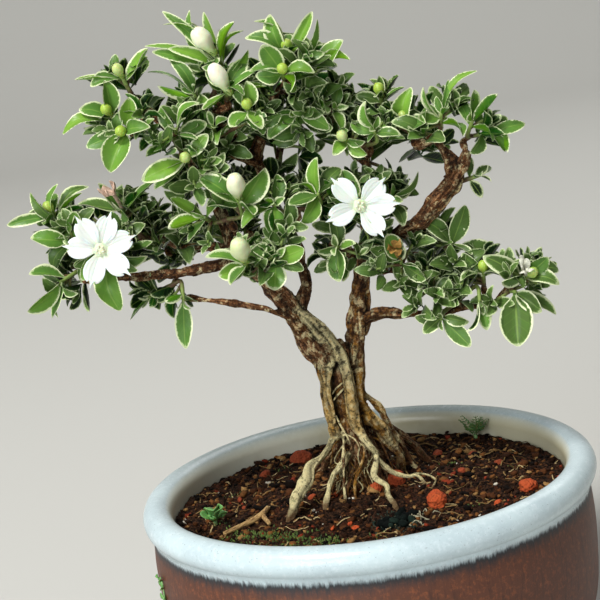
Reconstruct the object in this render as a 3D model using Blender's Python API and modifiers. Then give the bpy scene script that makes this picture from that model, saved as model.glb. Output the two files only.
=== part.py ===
"""Serissa pre-bonsai in its round glazed pot.

A young snow rose with a braided trunk on bare roots, variegated leaves in opposite pairs,
two open blooms and four large buds, in crumbly soil in a thick-lipped pot.
Lengths in this file are millimetres until a mesh is made; +Z is up and the front is -Y.
"""

import math
import random

import bmesh
import bpy
import numpy as np
from mathutils import Matrix, Vector
from mathutils.bvhtree import BVHTree

# Driving dimensions, in millimetres
MM = 0.001
GAP = 0.3

RIM_RADIUS = 52.0
LIP_RADIUS = 3.4
LIP_HEIGHT = 42.0
FLOOR = 5.0
FOOT_RADIUS = 41.0
POT_STEPS = 32
DRAIN_HOLES = 5
DRAIN_RADIUS = 1.9
DRAIN_CIRCLE = 12.0

MESH_RADIUS = 24.0
MESH_THICKNESS = 0.8

SOIL_EDGE = 38.8
SOIL_RISE = 3.6
SOIL_SPREAD = 15.0
SOIL_PEAK = (1.0, 3.0)
SOIL_LUMP = 0.45

LEAF_THICKNESS = 0.7
STEM_RADIUS = 0.6
STEM_KNEE = 1.2
SHOOT_LENGTH = 4.5
PAIR_SPACING = 1.2
LEAF_WIDTH_RATIO = 0.47
TIP_LEAF_ANGLE = 38
TIP_LEAF_SHARE = 0.55
CLEARANCE = 0.35
SLEEVE_EASE = 1.12
FLAT_ANGLE = 0.6

PETAL_THICKNESS = 0.8
PETAL_WIDTH = 4.4
PETAL_INSET = 0.3
PETAL_SINK = 0.9
PETAL_LIFT = 0.6
PETAL_CUP = -0.06
BLOOM_TUBE = 4.5

# The plant is set out from the front: a place is given by where it shows on the plane y = 0
# from this point, and then slid along that line of sight to its own depth.
SIGHT_POINT = np.array([-9.2, -366.1, 161.1])

# Colours, linear RGB
GLAZE = (0.55, 0.66, 0.72)
SOIL = (0.035, 0.02, 0.013)
BARK = (0.24, 0.145, 0.07)
LEAF = (0.08, 0.2, 0.03)
PETAL = (0.9, 0.9, 0.86)
BUD = (0.72, 0.78, 0.46)
CLAY = (0.48, 0.12, 0.05)
WEED = (0.12, 0.3, 0.1)
STRAW = (0.5, 0.38, 0.2)
PLASTIC = (0.03, 0.03, 0.03)

# Roots and the strands of the trunk: x, y, z and radius at each point
ROOTS = {
    "left": [(-5.5, -2.4, 55, 1.15), (-7.9, -4, 52.6, 1), (-10.2, -5.2, 50.9, 1.1), (-12.4, -6.6, 49.4, 1.2),
             (-13.2, -8, 47, 1.6), (-16.3, -10, 44.5, 1.5), (-18, -12.2, 41.6, 1.15), (-18.8, -13.6, 38.5, 1),
             (-19, -14.4, 34, 0.8)],
    "left_inner": [(-3.5, -3, 50.5, 0.8), (-5.3, -4.5, 48.4, 0.75), (-7.3, -6, 47.2, 0.75), (-8.4, -7.5, 45.4, 0.7),
                   (-9.2, -8.5, 43.4, 0.7), (-10.3, -9.6, 40.4, 0.65), (-10.8, -10.2, 34, 0.5)],
    "front": [(-0.2, -4.6, 56, 1.15), (0.5, -6, 53.7, 1), (2.4, -7, 51, 0.85), (2.4, -8, 49.4, 0.75),
              (1.5, -10, 47, 0.75), (2.8, -11, 45.6, 0.75), (4.1, -12, 44.4, 0.75), (3.9, -13.5, 42.6, 0.7),
              (5, -16, 40.2, 0.6), (5.4, -17.5, 34, 0.5)],
    "front_fork": [(2.4, -7.4, 50, 0.6), (5.8, -7.4, 46, 0.55), (9.2, -7.2, 44.4, 0.5),
                   (11.3, -7, 44.2, 0.45), (13, -7.6, 41.4, 0.45), (13.8, -8, 37, 0.4)],
    "buttress": [(2, -0.8, 58, 1.4), (4.8, -0.6, 54.3, 1.5), (6, -0.4, 51.2, 1.4), (7.7, 0.4, 47.6, 1.2),
                 (8.6, 3.2, 44, 1.1), (9.2, 5.5, 41, 1), (9.5, 6.5, 34, 0.8)],
    "right_arch": [(1.2, 0.4, 64.5, 0.7), (3.3, 0.8, 61.4, 0.85), (5.2, 1.2, 58.8, 0.9), (5.9, 1.6, 56.4, 0.9),
                   (6.6, 2, 53.6, 0.95), (8.2, 2.4, 50.4, 0.9), (9.6, 3.2, 47, 0.8), (11.4, 4, 43.4, 0.7),
                   (12.4, 4.4, 40, 0.6), (12.8, 4.6, 34, 0.5)],
    "right_rear": [(2.5, 3, 55, 1.4), (7, 6, 52, 1.25), (11, 8.5, 48, 1.1), (14, 10, 44, 1), (16, 11, 40, 0.9),
                   (17, 11.6, 34, 0.7)],
    "rear_left": [(-3, 3.5, 54, 1.5), (-5, 9, 50, 1.25), (-7.5, 13, 46, 1.1), (-9.5, 16, 41.5, 0.9),
                  (-10.5, 17.5, 35, 0.7)],
    "rear": [(0.5, 4, 54, 1.4), (3, 10, 50.5, 1.2), (4.5, 15, 46, 1), (5.5, 18.5, 41, 0.9), (6, 20, 34, 0.6)],
    "left_rear": [(-4.5, 2, 53, 1), (-7.8, 4.8, 50, 0.9), (-11, 7, 45.5, 0.8), (-13, 8.6, 41, 0.75),
                  (-14, 9.6, 34, 0.5)],
    "rootlet_a": [(-3.9, -2.4, 55.5, 0.5), (-4.6, -5, 52, 0.45), (-5, -6.5, 49.4, 0.4), (-5.4, -7.6, 45, 0.4),
                  (-5.7, -8.4, 40, 0.4), (-5.8, -8.8, 35, 0.4)],
    "rootlet_b": [(-0.4, -4.6, 55.4, 0.5), (0.2, -6, 52.6, 0.45), (-0.6, -6.8, 49.4, 0.42), (-2.9, -8, 45, 0.4),
                  (-3.3, -8.8, 40, 0.4), (-3.4, -9.2, 35, 0.4)],
}
CORE = [(-1.2, 1, 36, 2.4), (-1.2, 1, 44, 3), (-1.5, 0.5, 50, 3.4), (-2, 0.1, 60, 3.2),
        (-2.2, 0, 68, 3.1), (-2.3, 0.2, 73, 2.8), (-2.6, 0, 76, 1.8)]
STRANDS = {
    "left": [(-5.7, -2.6, 54.5, 1.3), (-6.3, -2, 57.7, 1.4), (-6.4, -1.8, 61, 1.5), (-6.4, -1.6, 64.5, 1.5),
             (-6.3, -1.3, 68, 1.6), (-6.5, -0.9, 72.3, 1.8), (-8.6, -0.4, 78, 2), (-11.4, -0.6, 84, 1.3)],
    "front_left": [(-5.5, -2.9, 58, 0.55), (-5.4, -3.3, 61.2, 0.65), (-5.8, -3.1, 64.7, 0.7), (-5.5, -2.9, 68.2, 0.8),
                   (-4.4, -2.5, 72.3, 1.05), (-4.8, -1.9, 75.5, 1.2), (-7.6, -1.2, 80, 1.3), (-11.2, -0.8, 85, 1)],
    "front": [(-0.2, -4.6, 55.6, 1.2), (-1.2, -4.1, 58, 1.35), (-1.2, -3.9, 61, 1.4), (-1.1, -3.7, 65, 1.4),
              (-1, -3.3, 68.7, 1.35), (-1.7, -2.7, 72.8, 1.3), (-3, -1.8, 76, 1.25), (-5.6, -1.2, 80, 1.2),
              (-10.4, -0.8, 85, 1)],
    "right": [(2, -0.8, 56.5, 1.5), (1.3, -1.2, 62, 1.35), (1.1, -1, 67, 1.4), (1.7, -0.4, 72, 1.6),
              (2.8, 0.2, 78, 2.1), (3.6, 0.2, 84, 1.4)],
    "rear_right": [(1, 3, 54, 1.9), (0.3, 3, 61, 1.8), (0, 2.8, 67, 1.8), (0.9, 1.9, 73, 1.8), (2.7, 0.9, 79, 1.8),
                   (3.8, 0.4, 85, 1.2)],
    "rear_left": [(-3.8, 3.2, 53, 2), (-4, 3.2, 60, 2), (-4.3, 2.8, 66, 2), (-5.4, 2, 72, 2.1),
                  (-8.4, 1, 79, 2), (-11.6, 0.6, 85, 1.3)],
}

# Branches: x and z as seen, depth y, and radius at each point
BRANCHES = {
    "left_stem": [(-5, 72, -0.5, 3), (-8, 78.5, -0.5, 2.8), (-11, 84, -0.5, 2.6), (-14, 89, 0, 2.4),
                  (-17, 93.5, 1, 2.1), (-20.5, 98, 1, 1.7), (-22.5, 104, 2, 1.5), (-24, 110, 2, 1.4),
                  (-25, 116, 1, 1.3), (-27.5, 121.5, 0, 1.2), (-31.5, 127, -1, 1.1), (-35, 132, -1, 1),
                  (-37.2, 135.2, -2, 0.8)],
    "left_arm": [(-18, 95, 0.5, 1.3), (-22, 97, -1, 1.3), (-28, 97.3, -3, 1.2), (-35, 97, -4, 1.1),
                 (-42, 97.2, -6, 1), (-49, 97.5, -7, 0.9), (-56, 98, -8, 0.7)],
    "left_upper_arm": [(-21.5, 100.5, 1.5, 1.05), (-28, 101.5, 3, 1), (-35, 103.5, 8, 0.95),
                       (-42, 107, 10, 0.85), (-49, 109, 8, 0.8), (-54, 110, 5, 0.65)],
    "low_twig": [(-10.6, 82, -1, 0.8), (-18, 86, -3, 0.75), (-25, 88.6, -3, 0.7), (-32, 90.6, -1, 0.65),
                 (-38, 92, 1, 0.6)],
    "centre_stem": [(-9.6, 84, 0, 1.5), (-7.8, 90, 1, 1.4), (-7.5, 97, 3, 1.3), (-9.5, 104, 5, 1.3),
                    (-12, 111, 6, 1.2), (-13.5, 118, 6, 1.3), (-12.5, 124, 5, 1.2), (-9.5, 129.5, 3, 1),
                    (-7, 134, 1, 0.8)],
    "crown_left_arm": [(-13.4, 119, 6, 1.1), (-18, 123, 4, 1), (-21, 127.5, 3, 0.9), (-21.6, 131, 3, 0.8)],
    "crown_low_arm": [(-13.4, 118, 6, 1), (-19, 121, 4, 0.9), (-24, 122.4, 1, 0.8)],
    "right_stem": [(2.7, 77, 0.3, 2.2), (3.5, 82, 0.3, 2.2), (4.5, 88, 0, 1.9), (6, 94, 1, 1.6),
                   (8.5, 100, 3, 1.4), (9.5, 107, 5, 1.25), (10, 114, 5, 1.1), (10.8, 119, 4, 0.9),
                   (12.5, 124, 2, 0.75)],
    "top_right_arm": [(10, 114, 5, 1.1), (6.5, 119, 5, 1), (4, 124, 4, 0.9), (1.5, 129.5, 2, 0.8)],
    "golden_arm": [(4.8, 90, 0, 1.6), (10, 94.5, -1, 1.55), (16, 98.5, -2, 1.65), (21.5, 102, -4, 1.95),
                   (26, 106, -5, 2.1), (29, 110, -6, 2), (26.8, 115, -5, 1.1), (25.5, 118.5, -5, 0.8)],
    "golden_fork": [(28.6, 109, -6, 1.7), (31.2, 112.6, -7, 1.3), (32, 114.4, -7, 0.9)],
    "right_arm": [(3.4, 80.5, 0, 1.5), (8.5, 81.2, -2, 1.25), (14, 79.8, -3, 1.1), (20, 79.2, -3, 1),
                  (27, 79.2, -3, 0.9), (31, 79.2, -4.5, 0.85), (34, 79.4, -5.5, 0.75)],
    "right_mid_arm": [(5.6, 92, 0.5, 1.2), (10, 90.5, 0, 1.1), (15, 90.2, 0, 1), (20.5, 91, 0, 0.8)],
    "rear_left_arm": [(-15, 90.5, 0.5, 1.4), (-17, 95, 8, 1.15), (-20, 99, 15, 0.9), (-27, 101, 18, 0.75),
                      (-36, 101, 18, 0.65)],
    "rear_right_arm": [(4.6, 89, 0.5, 1.3), (7, 93, 7, 1.1), (11, 96, 13, 0.9), (17, 97, 16, 0.75)],
    "rear_crown_arm": [(-12, 111, 6.5, 1.1), (-10.5, 115, 11, 1), (-8.5, 121, 14, 0.8), (-7, 128, 14, 0.7)],
    "front_left_arm": [(-17, 93.5, 0.5, 1.3), (-17, 94, -6, 1.1), (-16.8, 94.2, -8, 0.9)],
    "front_right_arm": [(8, 99, 2.5, 1.1), (7.2, 101, -1, 0.9), (6.6, 103, -3, 0.7)],
}

# Leafy heads. Each is (x, z as seen, depth), the way it faces, leaf length, pairs of leaves set by
# rule, what its tip carries, and hand-set leaves as (x, z of the tip as seen, forward, width).
SPRAYS = {
    "left_high": [
        ((-60.5, 114, 2), (-0.3, -0.35, 0.9), 7, 2, "bud",
         [(-70.8, 113, 1, 2.8), (-53.3, 117.6, 2, 3.2), (-51.6, 118.8, -2, 2.8)]),
        ((-58.2, 107.6, -3), (-0.6, -0.7, 0.2), 7, 1, "",
         [(-66.2, 109.3, 1, 4.4)])],
    "left_bloom": [
        ((-50.6, 104.2, -9), (-0.05, -0.95, 0.2), 8, 1, "bloom",
         [(-41.3, 101.6, 2, 4.6), (-49.4, 90.2, 3, 5.6), (-56.8, 98.4, 2, 4.2)])],
    "left_low": [
        ((-61.5, 98.6, -7), (-0.6, -0.6, -0.2), 6.5, 1, "",
         [(-69.8, 93, 2, 4.2), (-64.6, 90.8, 0, 4.2), (-68, 101.4, 1, 3.6)]),
        ((-59, 103.4, 2), (-0.4, -0.5, 0.6), 5.5, 2, "", [])],
    "left_arch": [
        ((-45.2, 113, 1), (-0.1, -0.5, 0.85), 6.5, 1, "",
         [(-54.6, 115.2, 1, 3.6), (-36.2, 118.3, 2, 3.4), (-43.4, 108.8, 3, 3.2)]),
        ((-39, 108.4, 6), (0.2, -0.1, 0.9), 5.5, 2, "", [])],
    "left_hanging": [
        ((-42.8, 92, -4), (-0.8, -0.3, -0.3), 5.5, 2, "",
         [(-47.4, 87.8, 1, 3.2)]),
        ((-35, 90.2, -5), (0, -0.3, -0.9), 5.5, 1, "",
         [(-36.2, 79.4, 0, 4.2)])],
    "left_rear": [((-50, 104, 12), (-0.4, 0.8, 0.4), 8, 3, "bud", [])],
    "left_rear_inner": [((-37, 104, 20), (-0.1, 0.9, 0.3), 8, 3, "", [])],
    "crown_left_tip": [
        ((-40.4, 141.4, -2), (-0.3, -0.3, 0.9), 6, 1, "bud",
         [(-50.6, 142.3, 0, 3.2), (-33.8, 146.6, 1, 4)])],
    "crown_left": [
        ((-44.2, 133.6, -4), (-0.3, -0.6, 0.7), 6.5, 1, "bud",
         [(-44.4, 141.2, 0, 4.4), (-50.8, 135.8, 1, 3.8), (-55.2, 131, 1, 3.6)]),
        ((-41.8, 129.8, -8), (-0.3, -0.9, 0.1), 6.5, 1, "bud",
         [(-50.6, 127.4, 1, 3.8), (-46.4, 121.2, 2, 6), (-39.6, 136.9, 1, 4)])],
    "crown_left_inner": [
        ((-30.5, 128.6, -8), (0.2, -0.7, 0.7), 7, 2, "",
         [(-24.6, 133.4, 1, 3.6)]),
        ((-29.3, 121.6, -9), (-0.1, -0.9, 0.3), 6.5, 1, "bud",
         [(-39.8, 118.4, 1, 4.4), (-37.4, 116, -3, 4)])],
    "crown_left_bud": [
        ((-19.4, 142.8, 0), (-0.25, -0.4, 0.9), 7.5, 1, "large bud",
         [(-29.8, 151.2, 0, 3), (-25, 151.4, -2, 3), (-14.4, 149.6, 0, 2.8), (-33, 145.8, 0, 3)]),
        ((-25.6, 135.8, 1), (-0.4, -0.3, 0.8), 6, 2, "", [])],
    "crown_mid_bud": [
        ((-18.4, 135.8, -6), (0.05, -0.75, 0.65), 7, 2, "large bud",
         [(-10.6, 138.8, 1, 3.2)])],
    "crown_centre": [
        ((-14.4, 130.6, -7), (0, -0.8, 0.6), 6.5, 1, "bud",
         [(-13.8, 136.6, 1, 4), (-18.8, 127.2, 2, 4.2), (-12.2, 125.2, 2, 4.8)]),
        ((-22.6, 128, -4), (-0.2, -0.7, 0.6), 7, 3, "", [])],
    "crown_rear_left": [((-29, 132.5, 11), (-0.3, 0.8, 0.6), 8, 3, "", [])],
    "crown_rear": [((-16, 132, 15), (0, 0.9, 0.5), 8, 3, "bud", [])],
    "top": [
        ((-4.2, 141.4, -2), (0.1, -0.5, 0.85), 7, 1, "bud",
         [(-12.6, 145.8, 0, 3.4), (-10.2, 149, 0, 3.4), (-6.6, 150, -2, 4), (2.6, 149.3, 0, 3)]),
        ((-5.6, 137.4, -8), (0, -0.9, 0.4), 6.5, 1, "bud",
         [(-9.2, 143.8, 2, 5), (-11.6, 137.4, 1, 3.8), (-4.6, 132.8, 2, 4)])],
    "top_right": [
        ((1.8, 136.8, -4), (0.5, -0.6, 0.5), 7, 1, "",
         [(8.4, 142.2, 0, 4.6), (9.4, 137.8, 1, 4.4)]),
        ((6, 132.4, 3), (0.7, -0.3, 0.5), 6, 2, "", [])],
    "top_under": [
        ((-3.8, 127.6, -3), (-0.2, -0.8, -0.1), 6.5, 1, "",
         [(-11, 123.4, 1, 3.8), (2.8, 123.6, 1, 3.6)]),
        ((5, 128, -2), (0.4, -0.7, 0.4), 6, 2, "", [])],
    "top_rear": [((-5, 137.5, 11), (0, 0.8, 0.6), 8, 3, "", [])],
    "right_high": [((14.8, 129, 1), (-0.1, -0.4, 0.9), 7, 3, "bud", [])],
    "right_high_bud": [
        ((19.6, 122.4, -5), (-0.25, -0.5, 0.85), 7, 1, "bud",
         [(10.6, 119.4, 1, 3.4), (28.8, 122.2, 0, 3.6), (21.6, 130, 1, 4.4)])],
    "right_high_inner": [
        ((12.4, 122.2, -8), (-0.1, -0.7, 0.7), 6, 1, "",
         [(11.5, 128.4, 1, 3.8)]),
        ((5.8, 120.6, -5), (-0.3, -0.7, 0.6), 5.5, 1, "bud",
         [(10.2, 116.8, 2, 3.2), (2.6, 117.8, 2, 3)])],
    "right_high_outer": [
        ((27.6, 123.4, -8), (0.1, -0.6, 0.8), 7.5, 2, "",
         [(36.5, 130.8, 0, 3)])],
    "right_high_tip": [
        ((34.2, 120.8, -9), (0.3, -0.6, 0.8), 7, 1, "",
         [(40.4, 125.6, 1, 3.8), (35.4, 127.4, -1, 4.2)]),
        ((38, 117.6, -7), (0.8, -0.5, 0.1), 6, 1, "",
         [(45.6, 118.4, 0, 3), (41, 112.6, 1, 3.8), (32.6, 113.8, 2, 3.6)])],
    "right_side": [((34.6, 108.6, -5), (0.9, -0.3, 0.2), 5.5, 2, "", [])],
    "right_high_rear": [((23, 122, 9), (0.3, 0.8, 0.6), 8, 3, "", [])],
    "right_rear": [((8.5, 126.5, 14), (0, 0.8, 0.6), 8, 3, "", [])],
    "centre_bud": [
        ((-19.4, 110.6, -9), (0, -0.6, 0.8), 7, 1, "large bud",
         [(-27.4, 117.4, 0, 4.4), (-26.4, 110.6, 2, 4), (-12.6, 117.2, -1, 5.4)]),
        ((-28, 108.6, -7), (-0.5, -0.7, 0.5), 5.5, 1, "",
         [(-35.8, 107, 1, 3.8), (-34.2, 113.6, 1, 2.8)])],
    "centre": [
        ((-11.6, 108.8, -8), (0, -0.8, 0.5), 7, 1, "",
         [(-13.6, 102.4, 2, 5.6), (-19.6, 104.6, 2, 3.6)]),
        ((-1.8, 109.8, -7), (0, -0.7, 0.7), 6.5, 1, "",
         [(-0.8, 117.8, 0, 4.2), (-6.4, 103.8, 2, 4.2), (-7.4, 112.2, 1, 3.4)])],
    "centre_bloom": [
        ((6.6, 105.4, -7), (0.05, -0.95, 0.2), 7, 1, "bloom",
         [(4.2, 114.2, -2, 3.8), (12.8, 112.2, -1, 3.2)])],
    "centre_right": [
        ((14.6, 106.6, -4), (0.5, -0.7, 0.4), 6.5, 2, "",
         [(20.8, 111.4, 1, 2.8)])],
    "low_bud": [
        ((-20, 96.6, -16), (-0.1, -0.7, 0.7), 7, 1, "large bud",
         [(-28.6, 99.4, 0, 3), (-26.4, 94.8, 1, 4)]),
        ((-13, 96.6, -14), (0.2, -0.8, 0.4), 7, 1, "",
         [(-6.6, 98, 2, 4.2), (-14.4, 89.6, 2, 5)])],
    "centre_low": [
        ((0.6, 97.4, -5), (-0.2, -0.8, 0.3), 6.5, 2, "",
         [(0.2, 89.4, 1, 4.8)])],
    "centre_rear": [((-4, 113, 17), (0, 0.9, 0.4), 8, 3, "", [])],
    "low_rear": [((1, 101, 18), (0.1, 0.9, 0.3), 8, 3, "", [])],
    "low_left_rear": [((-19, 106, 20), (-0.2, 0.9, 0.4), 8, 3, "bud", [])],
    "right_fan": [
        ((26.2, 94.6, -2), (0.1, -0.6, 0.8), 6, 1, "",
         [(20, 100.4, 0, 4.2), (30.2, 102.4, -1, 4.6), (35.8, 88.6, -2, 4.2)])],
    "right_inner": [
        ((14.4, 92.2, -8), (-0.1, -0.8, 0.6), 6.5, 1, "",
         [(12, 98.4, 1, 4.6), (19.2, 88, 2, 4.4)]),
        ((19.4, 85.6, -7), (-0.2, -0.7, 0.5), 6.5, 1, "",
         [(12.6, 86.2, 1, 3.8)])],
    "right_hanging": [
        ((21.6, 77.4, -9), (-0.2, -0.8, -0.1), 5.5, 1, "",
         [(27.4, 70.2, 2, 4), (17.2, 74.8, 1, 3.2)]),
        ((30.8, 80, -11), (0, -0.7, -0.6), 6, 0, "",
         [(27, 73.8, 1, 3.6), (31.6, 73.4, 1, 3.2)])],
    "right_tip": [
        ((39, 81.2, -12), (0.2, -0.9, 0.1), 7, 0, "",
         [(38.2, 68.6, 3, 7.4), (44.4, 75.8, 2, 4), (47.4, 74.6, -1, 3.6)]),
        ((42.2, 84.4, -12), (0.4, -0.75, 0.45), 6.5, 1, "bud",
         [(47.2, 88, 1, 3.8), (49, 81.4, 2, 3.8), (32.8, 90.4, 0, 4.2)])],
    "right_low_mid": [
        ((32.4, 86.8, -7), (0, -0.6, 0.8), 7, 2, "bud", [])],
    "right_low_rear": [((22, 93, 15), (0.3, 0.8, 0.4), 8, 3, "", [])],
}

# Large buds: length and width by spray
LARGE_BUDS = {
    "crown_left_bud": (8.4, 5.4),
    "crown_mid_bud": (7.6, 4.8),
    "centre_bud": (8, 4.4),
    "low_bud": (8.6, 4.6),
}

# Blooms: petal angles round the bloom's axis, in degrees, and petal length
BLOOMS = {
    "left_bloom": ((14, 66, 118, 166, 246, 312), 7.4),
    "centre_bloom": ((-62, -5, 40, 128, 197), 7.4),
}

# Clay granules half sunk in the soil: x, y, radius
GRANULES = [(14.2, -15.6, 2.6), (6.4, -3.4, 2.2), (1.5, -6.8, 1.6), (-14.6, 32, 2.4), (35, -13, 2)]

# Small weeds: x, y, leaves, leaf length, lean
WEEDS = {"weed_front": (-35.5, -6.5, 7, 4.4, 0.9), "weed_rear": (28.8, 30, 5, 4.6, 0.5)}

DEAD_ROOTLET = [(-33.4, -14.6, 0.55), (-29, -11.4, 0.7), (-24.6, -8.6, 0.75), (-23.4, -4.6, 0.6)]


def vec(values):
    """An array of floats."""
    return np.array(values, float)


def unit(v):
    """The vector at length 1."""
    return v / np.linalg.norm(v)


def seen(x, z, depth):
    """The point at this depth that shows at x, z on the plane y = 0 from the sight point."""
    share = (depth - SIGHT_POINT[1]) / -SIGHT_POINT[1]
    return SIGHT_POINT + share * (vec((x, 0, z)) - SIGHT_POINT)


def turned(v, axis, degrees):
    """The vector turned about an axis."""
    return np.array(Matrix.Rotation(math.radians(degrees), 3, Vector(axis)) @ Vector(v))


def across(v, axis):
    """The unit vector of v's part that is square to the axis."""
    flat = v - np.dot(v, axis) * axis
    if np.linalg.norm(flat) < 1e-3:
        flat = vec((0.1, -0.4, 1)) - np.dot(vec((0.1, -0.4, 1)), axis) * axis
    return unit(flat)


def soil_height(x, y):
    """The soil's level: a low mound under the trunk with small crumbs on it."""
    mound = math.exp(-((x - SOIL_PEAK[0]) ** 2 + (y - SOIL_PEAK[1]) ** 2) / (2 * SOIL_SPREAD ** 2))
    crumbs = math.sin(0.9 * x + 1.3 * math.sin(0.7 * y)) * math.cos(1.1 * y + 0.8 * math.sin(0.5 * x))
    return SOIL_EDGE + SOIL_RISE * mound + SOIL_LUMP * crumbs


def start_scene():
    """Clear the scene and make the collections for the plant and for the cutters."""
    for obj in list(bpy.data.objects):
        bpy.data.objects.remove(obj)
    rooms = {}
    for name in ("serissa_bonsai", "cutters", "working"):
        rooms[name] = bpy.data.collections.new(name)
        bpy.context.scene.collection.children.link(rooms[name])
    return rooms


def add_object(name, mesh, collection):
    """A new object in the collection."""
    obj = bpy.data.objects.new(name, mesh)
    collection.objects.link(obj)
    return obj


def mesh_object(name, points, faces, collection):
    """An object from points in millimetres, its faces pointing out."""
    mesh = bpy.data.meshes.new(name)
    mesh.from_pydata([tuple(MM * p) for p in points], [], faces)
    tidy = bmesh.new()
    tidy.from_mesh(mesh)
    bmesh.ops.recalc_face_normals(tidy, faces=tidy.faces)
    tidy.to_mesh(mesh)
    tidy.free()
    return add_object(name, mesh, collection)


def finish(obj, colour, roughness):
    """Give the object its own material, and smooth its round sides."""
    material = bpy.data.materials.new(obj.name + "_finish")
    material.use_nodes = True
    shader = material.node_tree.nodes["Principled BSDF"]
    shader.inputs["Base Color"].default_value = (*colour, 1)
    shader.inputs["Roughness"].default_value = roughness
    shader.inputs["Metallic"].default_value = 0
    obj.data.materials.clear()
    obj.data.materials.append(material)
    obj.data.shade_smooth()
    obj.data.set_sharp_from_angle(angle=math.radians(40))


def settled(obj):
    """Replace the object's mesh by its evaluated one and drop its modifiers."""
    graph = bpy.context.evaluated_depsgraph_get()
    mesh = bpy.data.meshes.new_from_object(obj.evaluated_get(graph))
    obj.modifiers.clear()
    obj.data = mesh
    return obj


def loft(rings, start, end):
    """Points and triangles of a skin over rings of points, closed to a pole at each end."""
    count = len(rings[0])
    points = [start] + [p for ring in rings for p in ring] + [end]
    last = len(points) - 1
    faces = []
    for k in range(count):
        nxt = (k + 1) % count
        faces.append((0, 1 + nxt, 1 + k))
        for r in range(len(rings) - 1):
            a = 1 + r * count
            b = a + count
            faces.append((a + k, a + nxt, b + nxt))
            faces.append((a + k, b + nxt, b + k))
        top = 1 + (len(rings) - 1) * count
        faces.append((top + k, top + nxt, last))
    return points, faces


def blade(base, tip, width, facing, thickness, arch, stations):
    """A thin arched blade: three-cornered sections at the stations, closed to a point at each end.

    A station is its share of the length and its share of the width; its corners are the two
    margins and the keel below them, and its middle line rises by the arch and falls back at the tip.
    """
    length = np.linalg.norm(tip - base)
    along = (tip - base) / length
    up = across(facing, along)
    side = np.cross(along, up)
    rings = []
    for share, spread in stations:
        middle = base + along * length * share + up * arch * length * math.sin(math.pi * share)
        half = 0.5 * width * spread
        keel = up * thickness * min(1, spread + 0.2)
        rings.append([middle + side * half, middle - side * half, middle - keel])
    return loft(rings, base, tip)


LEAF_STATIONS = ((0.4, 0.66), (0.75, 0.96))
SMALL_LEAF_STATIONS = ((0.56, 1),)
PETAL_STATIONS = ((0.16, 0.4), (0.45, 0.9), (0.76, 0.78))


def leaf_blade(base, tip, width, facing, stations=LEAF_STATIONS):
    """A leaf, widest past its middle, with a short point."""
    return blade(base, tip, width, facing, LEAF_THICKNESS, 0.1, stations)


def tube(name, route, sides, collection):
    """A closed tube along points of x, y, z and radius, made a mesh with its caps welded."""
    curve = bpy.data.curves.new(name, "CURVE")
    curve.dimensions = "3D"
    curve.bevel_depth = MM
    curve.bevel_resolution = sides // 2 - 2
    curve.use_fill_caps = True
    curve.render_resolution_u = 0
    spline = curve.splines.new("POLY")
    spline.points.add(len(route) - 1)
    for point, (x, y, z, radius) in zip(spline.points, route):
        point.co = (MM * x, MM * y, MM * z, 1)
        point.radius = radius
    pipe = add_object(name, curve, collection)
    mesh = bpy.data.meshes.new_from_object(pipe.evaluated_get(bpy.context.evaluated_depsgraph_get()))
    bpy.data.objects.remove(pipe)
    weld = bmesh.new()
    weld.from_mesh(mesh)
    bmesh.ops.remove_doubles(weld, verts=weld.verts, dist=0.001 * MM)
    bmesh.ops.recalc_face_normals(weld, faces=weld.faces)
    weld.to_mesh(mesh)
    weld.free()
    return add_object(name, mesh, collection)


def islands(mesh):
    """The mesh's connected groups of faces."""
    waiting = set(mesh.faces)
    groups = []
    while waiting:
        group = [waiting.pop()]
        for face in group:
            for edge in face.edges:
                for other in edge.link_faces:
                    if other in waiting:
                        waiting.remove(other)
                        group.append(other)
        groups.append(group)
    return groups


def drop_folds(work):
    """Take out flat folds: two triangles back to back on the same three corners."""
    by_corners = {}
    for face in work.faces:
        by_corners.setdefault(frozenset(face.verts), []).append(face)
    folded = [face for faces in by_corners.values() if len(faces) == 2 for face in faces]
    bmesh.ops.delete(work, geom=folded, context="FACES")


def keep_main_body(obj):
    """Join flat neighbours, fill sealed hollows and drop loose scraps, so that one closed body is left."""
    work = bmesh.new()
    work.from_mesh(obj.data)
    bmesh.ops.dissolve_limit(work, angle_limit=math.radians(FLAT_ANGLE), verts=work.verts, edges=work.edges)
    bmesh.ops.triangulate(work, faces=work.faces)
    drop_folds(work)
    groups = sorted(islands(work), key=len)
    for group in groups[:-1]:
        bmesh.ops.delete(work, geom=group, context="FACES")
    work.to_mesh(obj.data)
    work.free()


def joined(name, pieces, rooms):
    """Fuse the pieces into one body with one union on a collection."""
    first = pieces[0]
    rest = bpy.data.collections.new(name + "_pieces")
    bpy.context.scene.collection.children.link(rest)
    for piece in pieces[1:]:
        rooms["working"].objects.unlink(piece)
        rest.objects.link(piece)
    if len(pieces) > 1:
        union = first.modifiers.new("join", "BOOLEAN")
        union.operation = "UNION"
        union.operand_type = "COLLECTION"
        union.collection = rest
        union.solver = "MANIFOLD"
        settled(first)
    for piece in list(rest.objects):
        bpy.data.objects.remove(piece)
    bpy.data.collections.remove(rest)
    keep_main_body(first)
    first.name = name
    first.data.name = name
    rooms["working"].objects.unlink(first)
    rooms["serissa_bonsai"].objects.link(first)
    return first


def cut(obj, cutters, rooms):
    """Cut the cutters out of the object and park them with the other cutters."""
    for cutter in cutters:
        rooms["working"].objects.unlink(cutter)
        rooms["cutters"].objects.link(cutter)
        cutter.hide_render = True
        cutter.display_type = "WIRE"
        hole = obj.modifiers.new("hole", "BOOLEAN")
        hole.operation = "DIFFERENCE"
        hole.object = cutter
    settled(obj)
    keep_main_body(obj)


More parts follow.
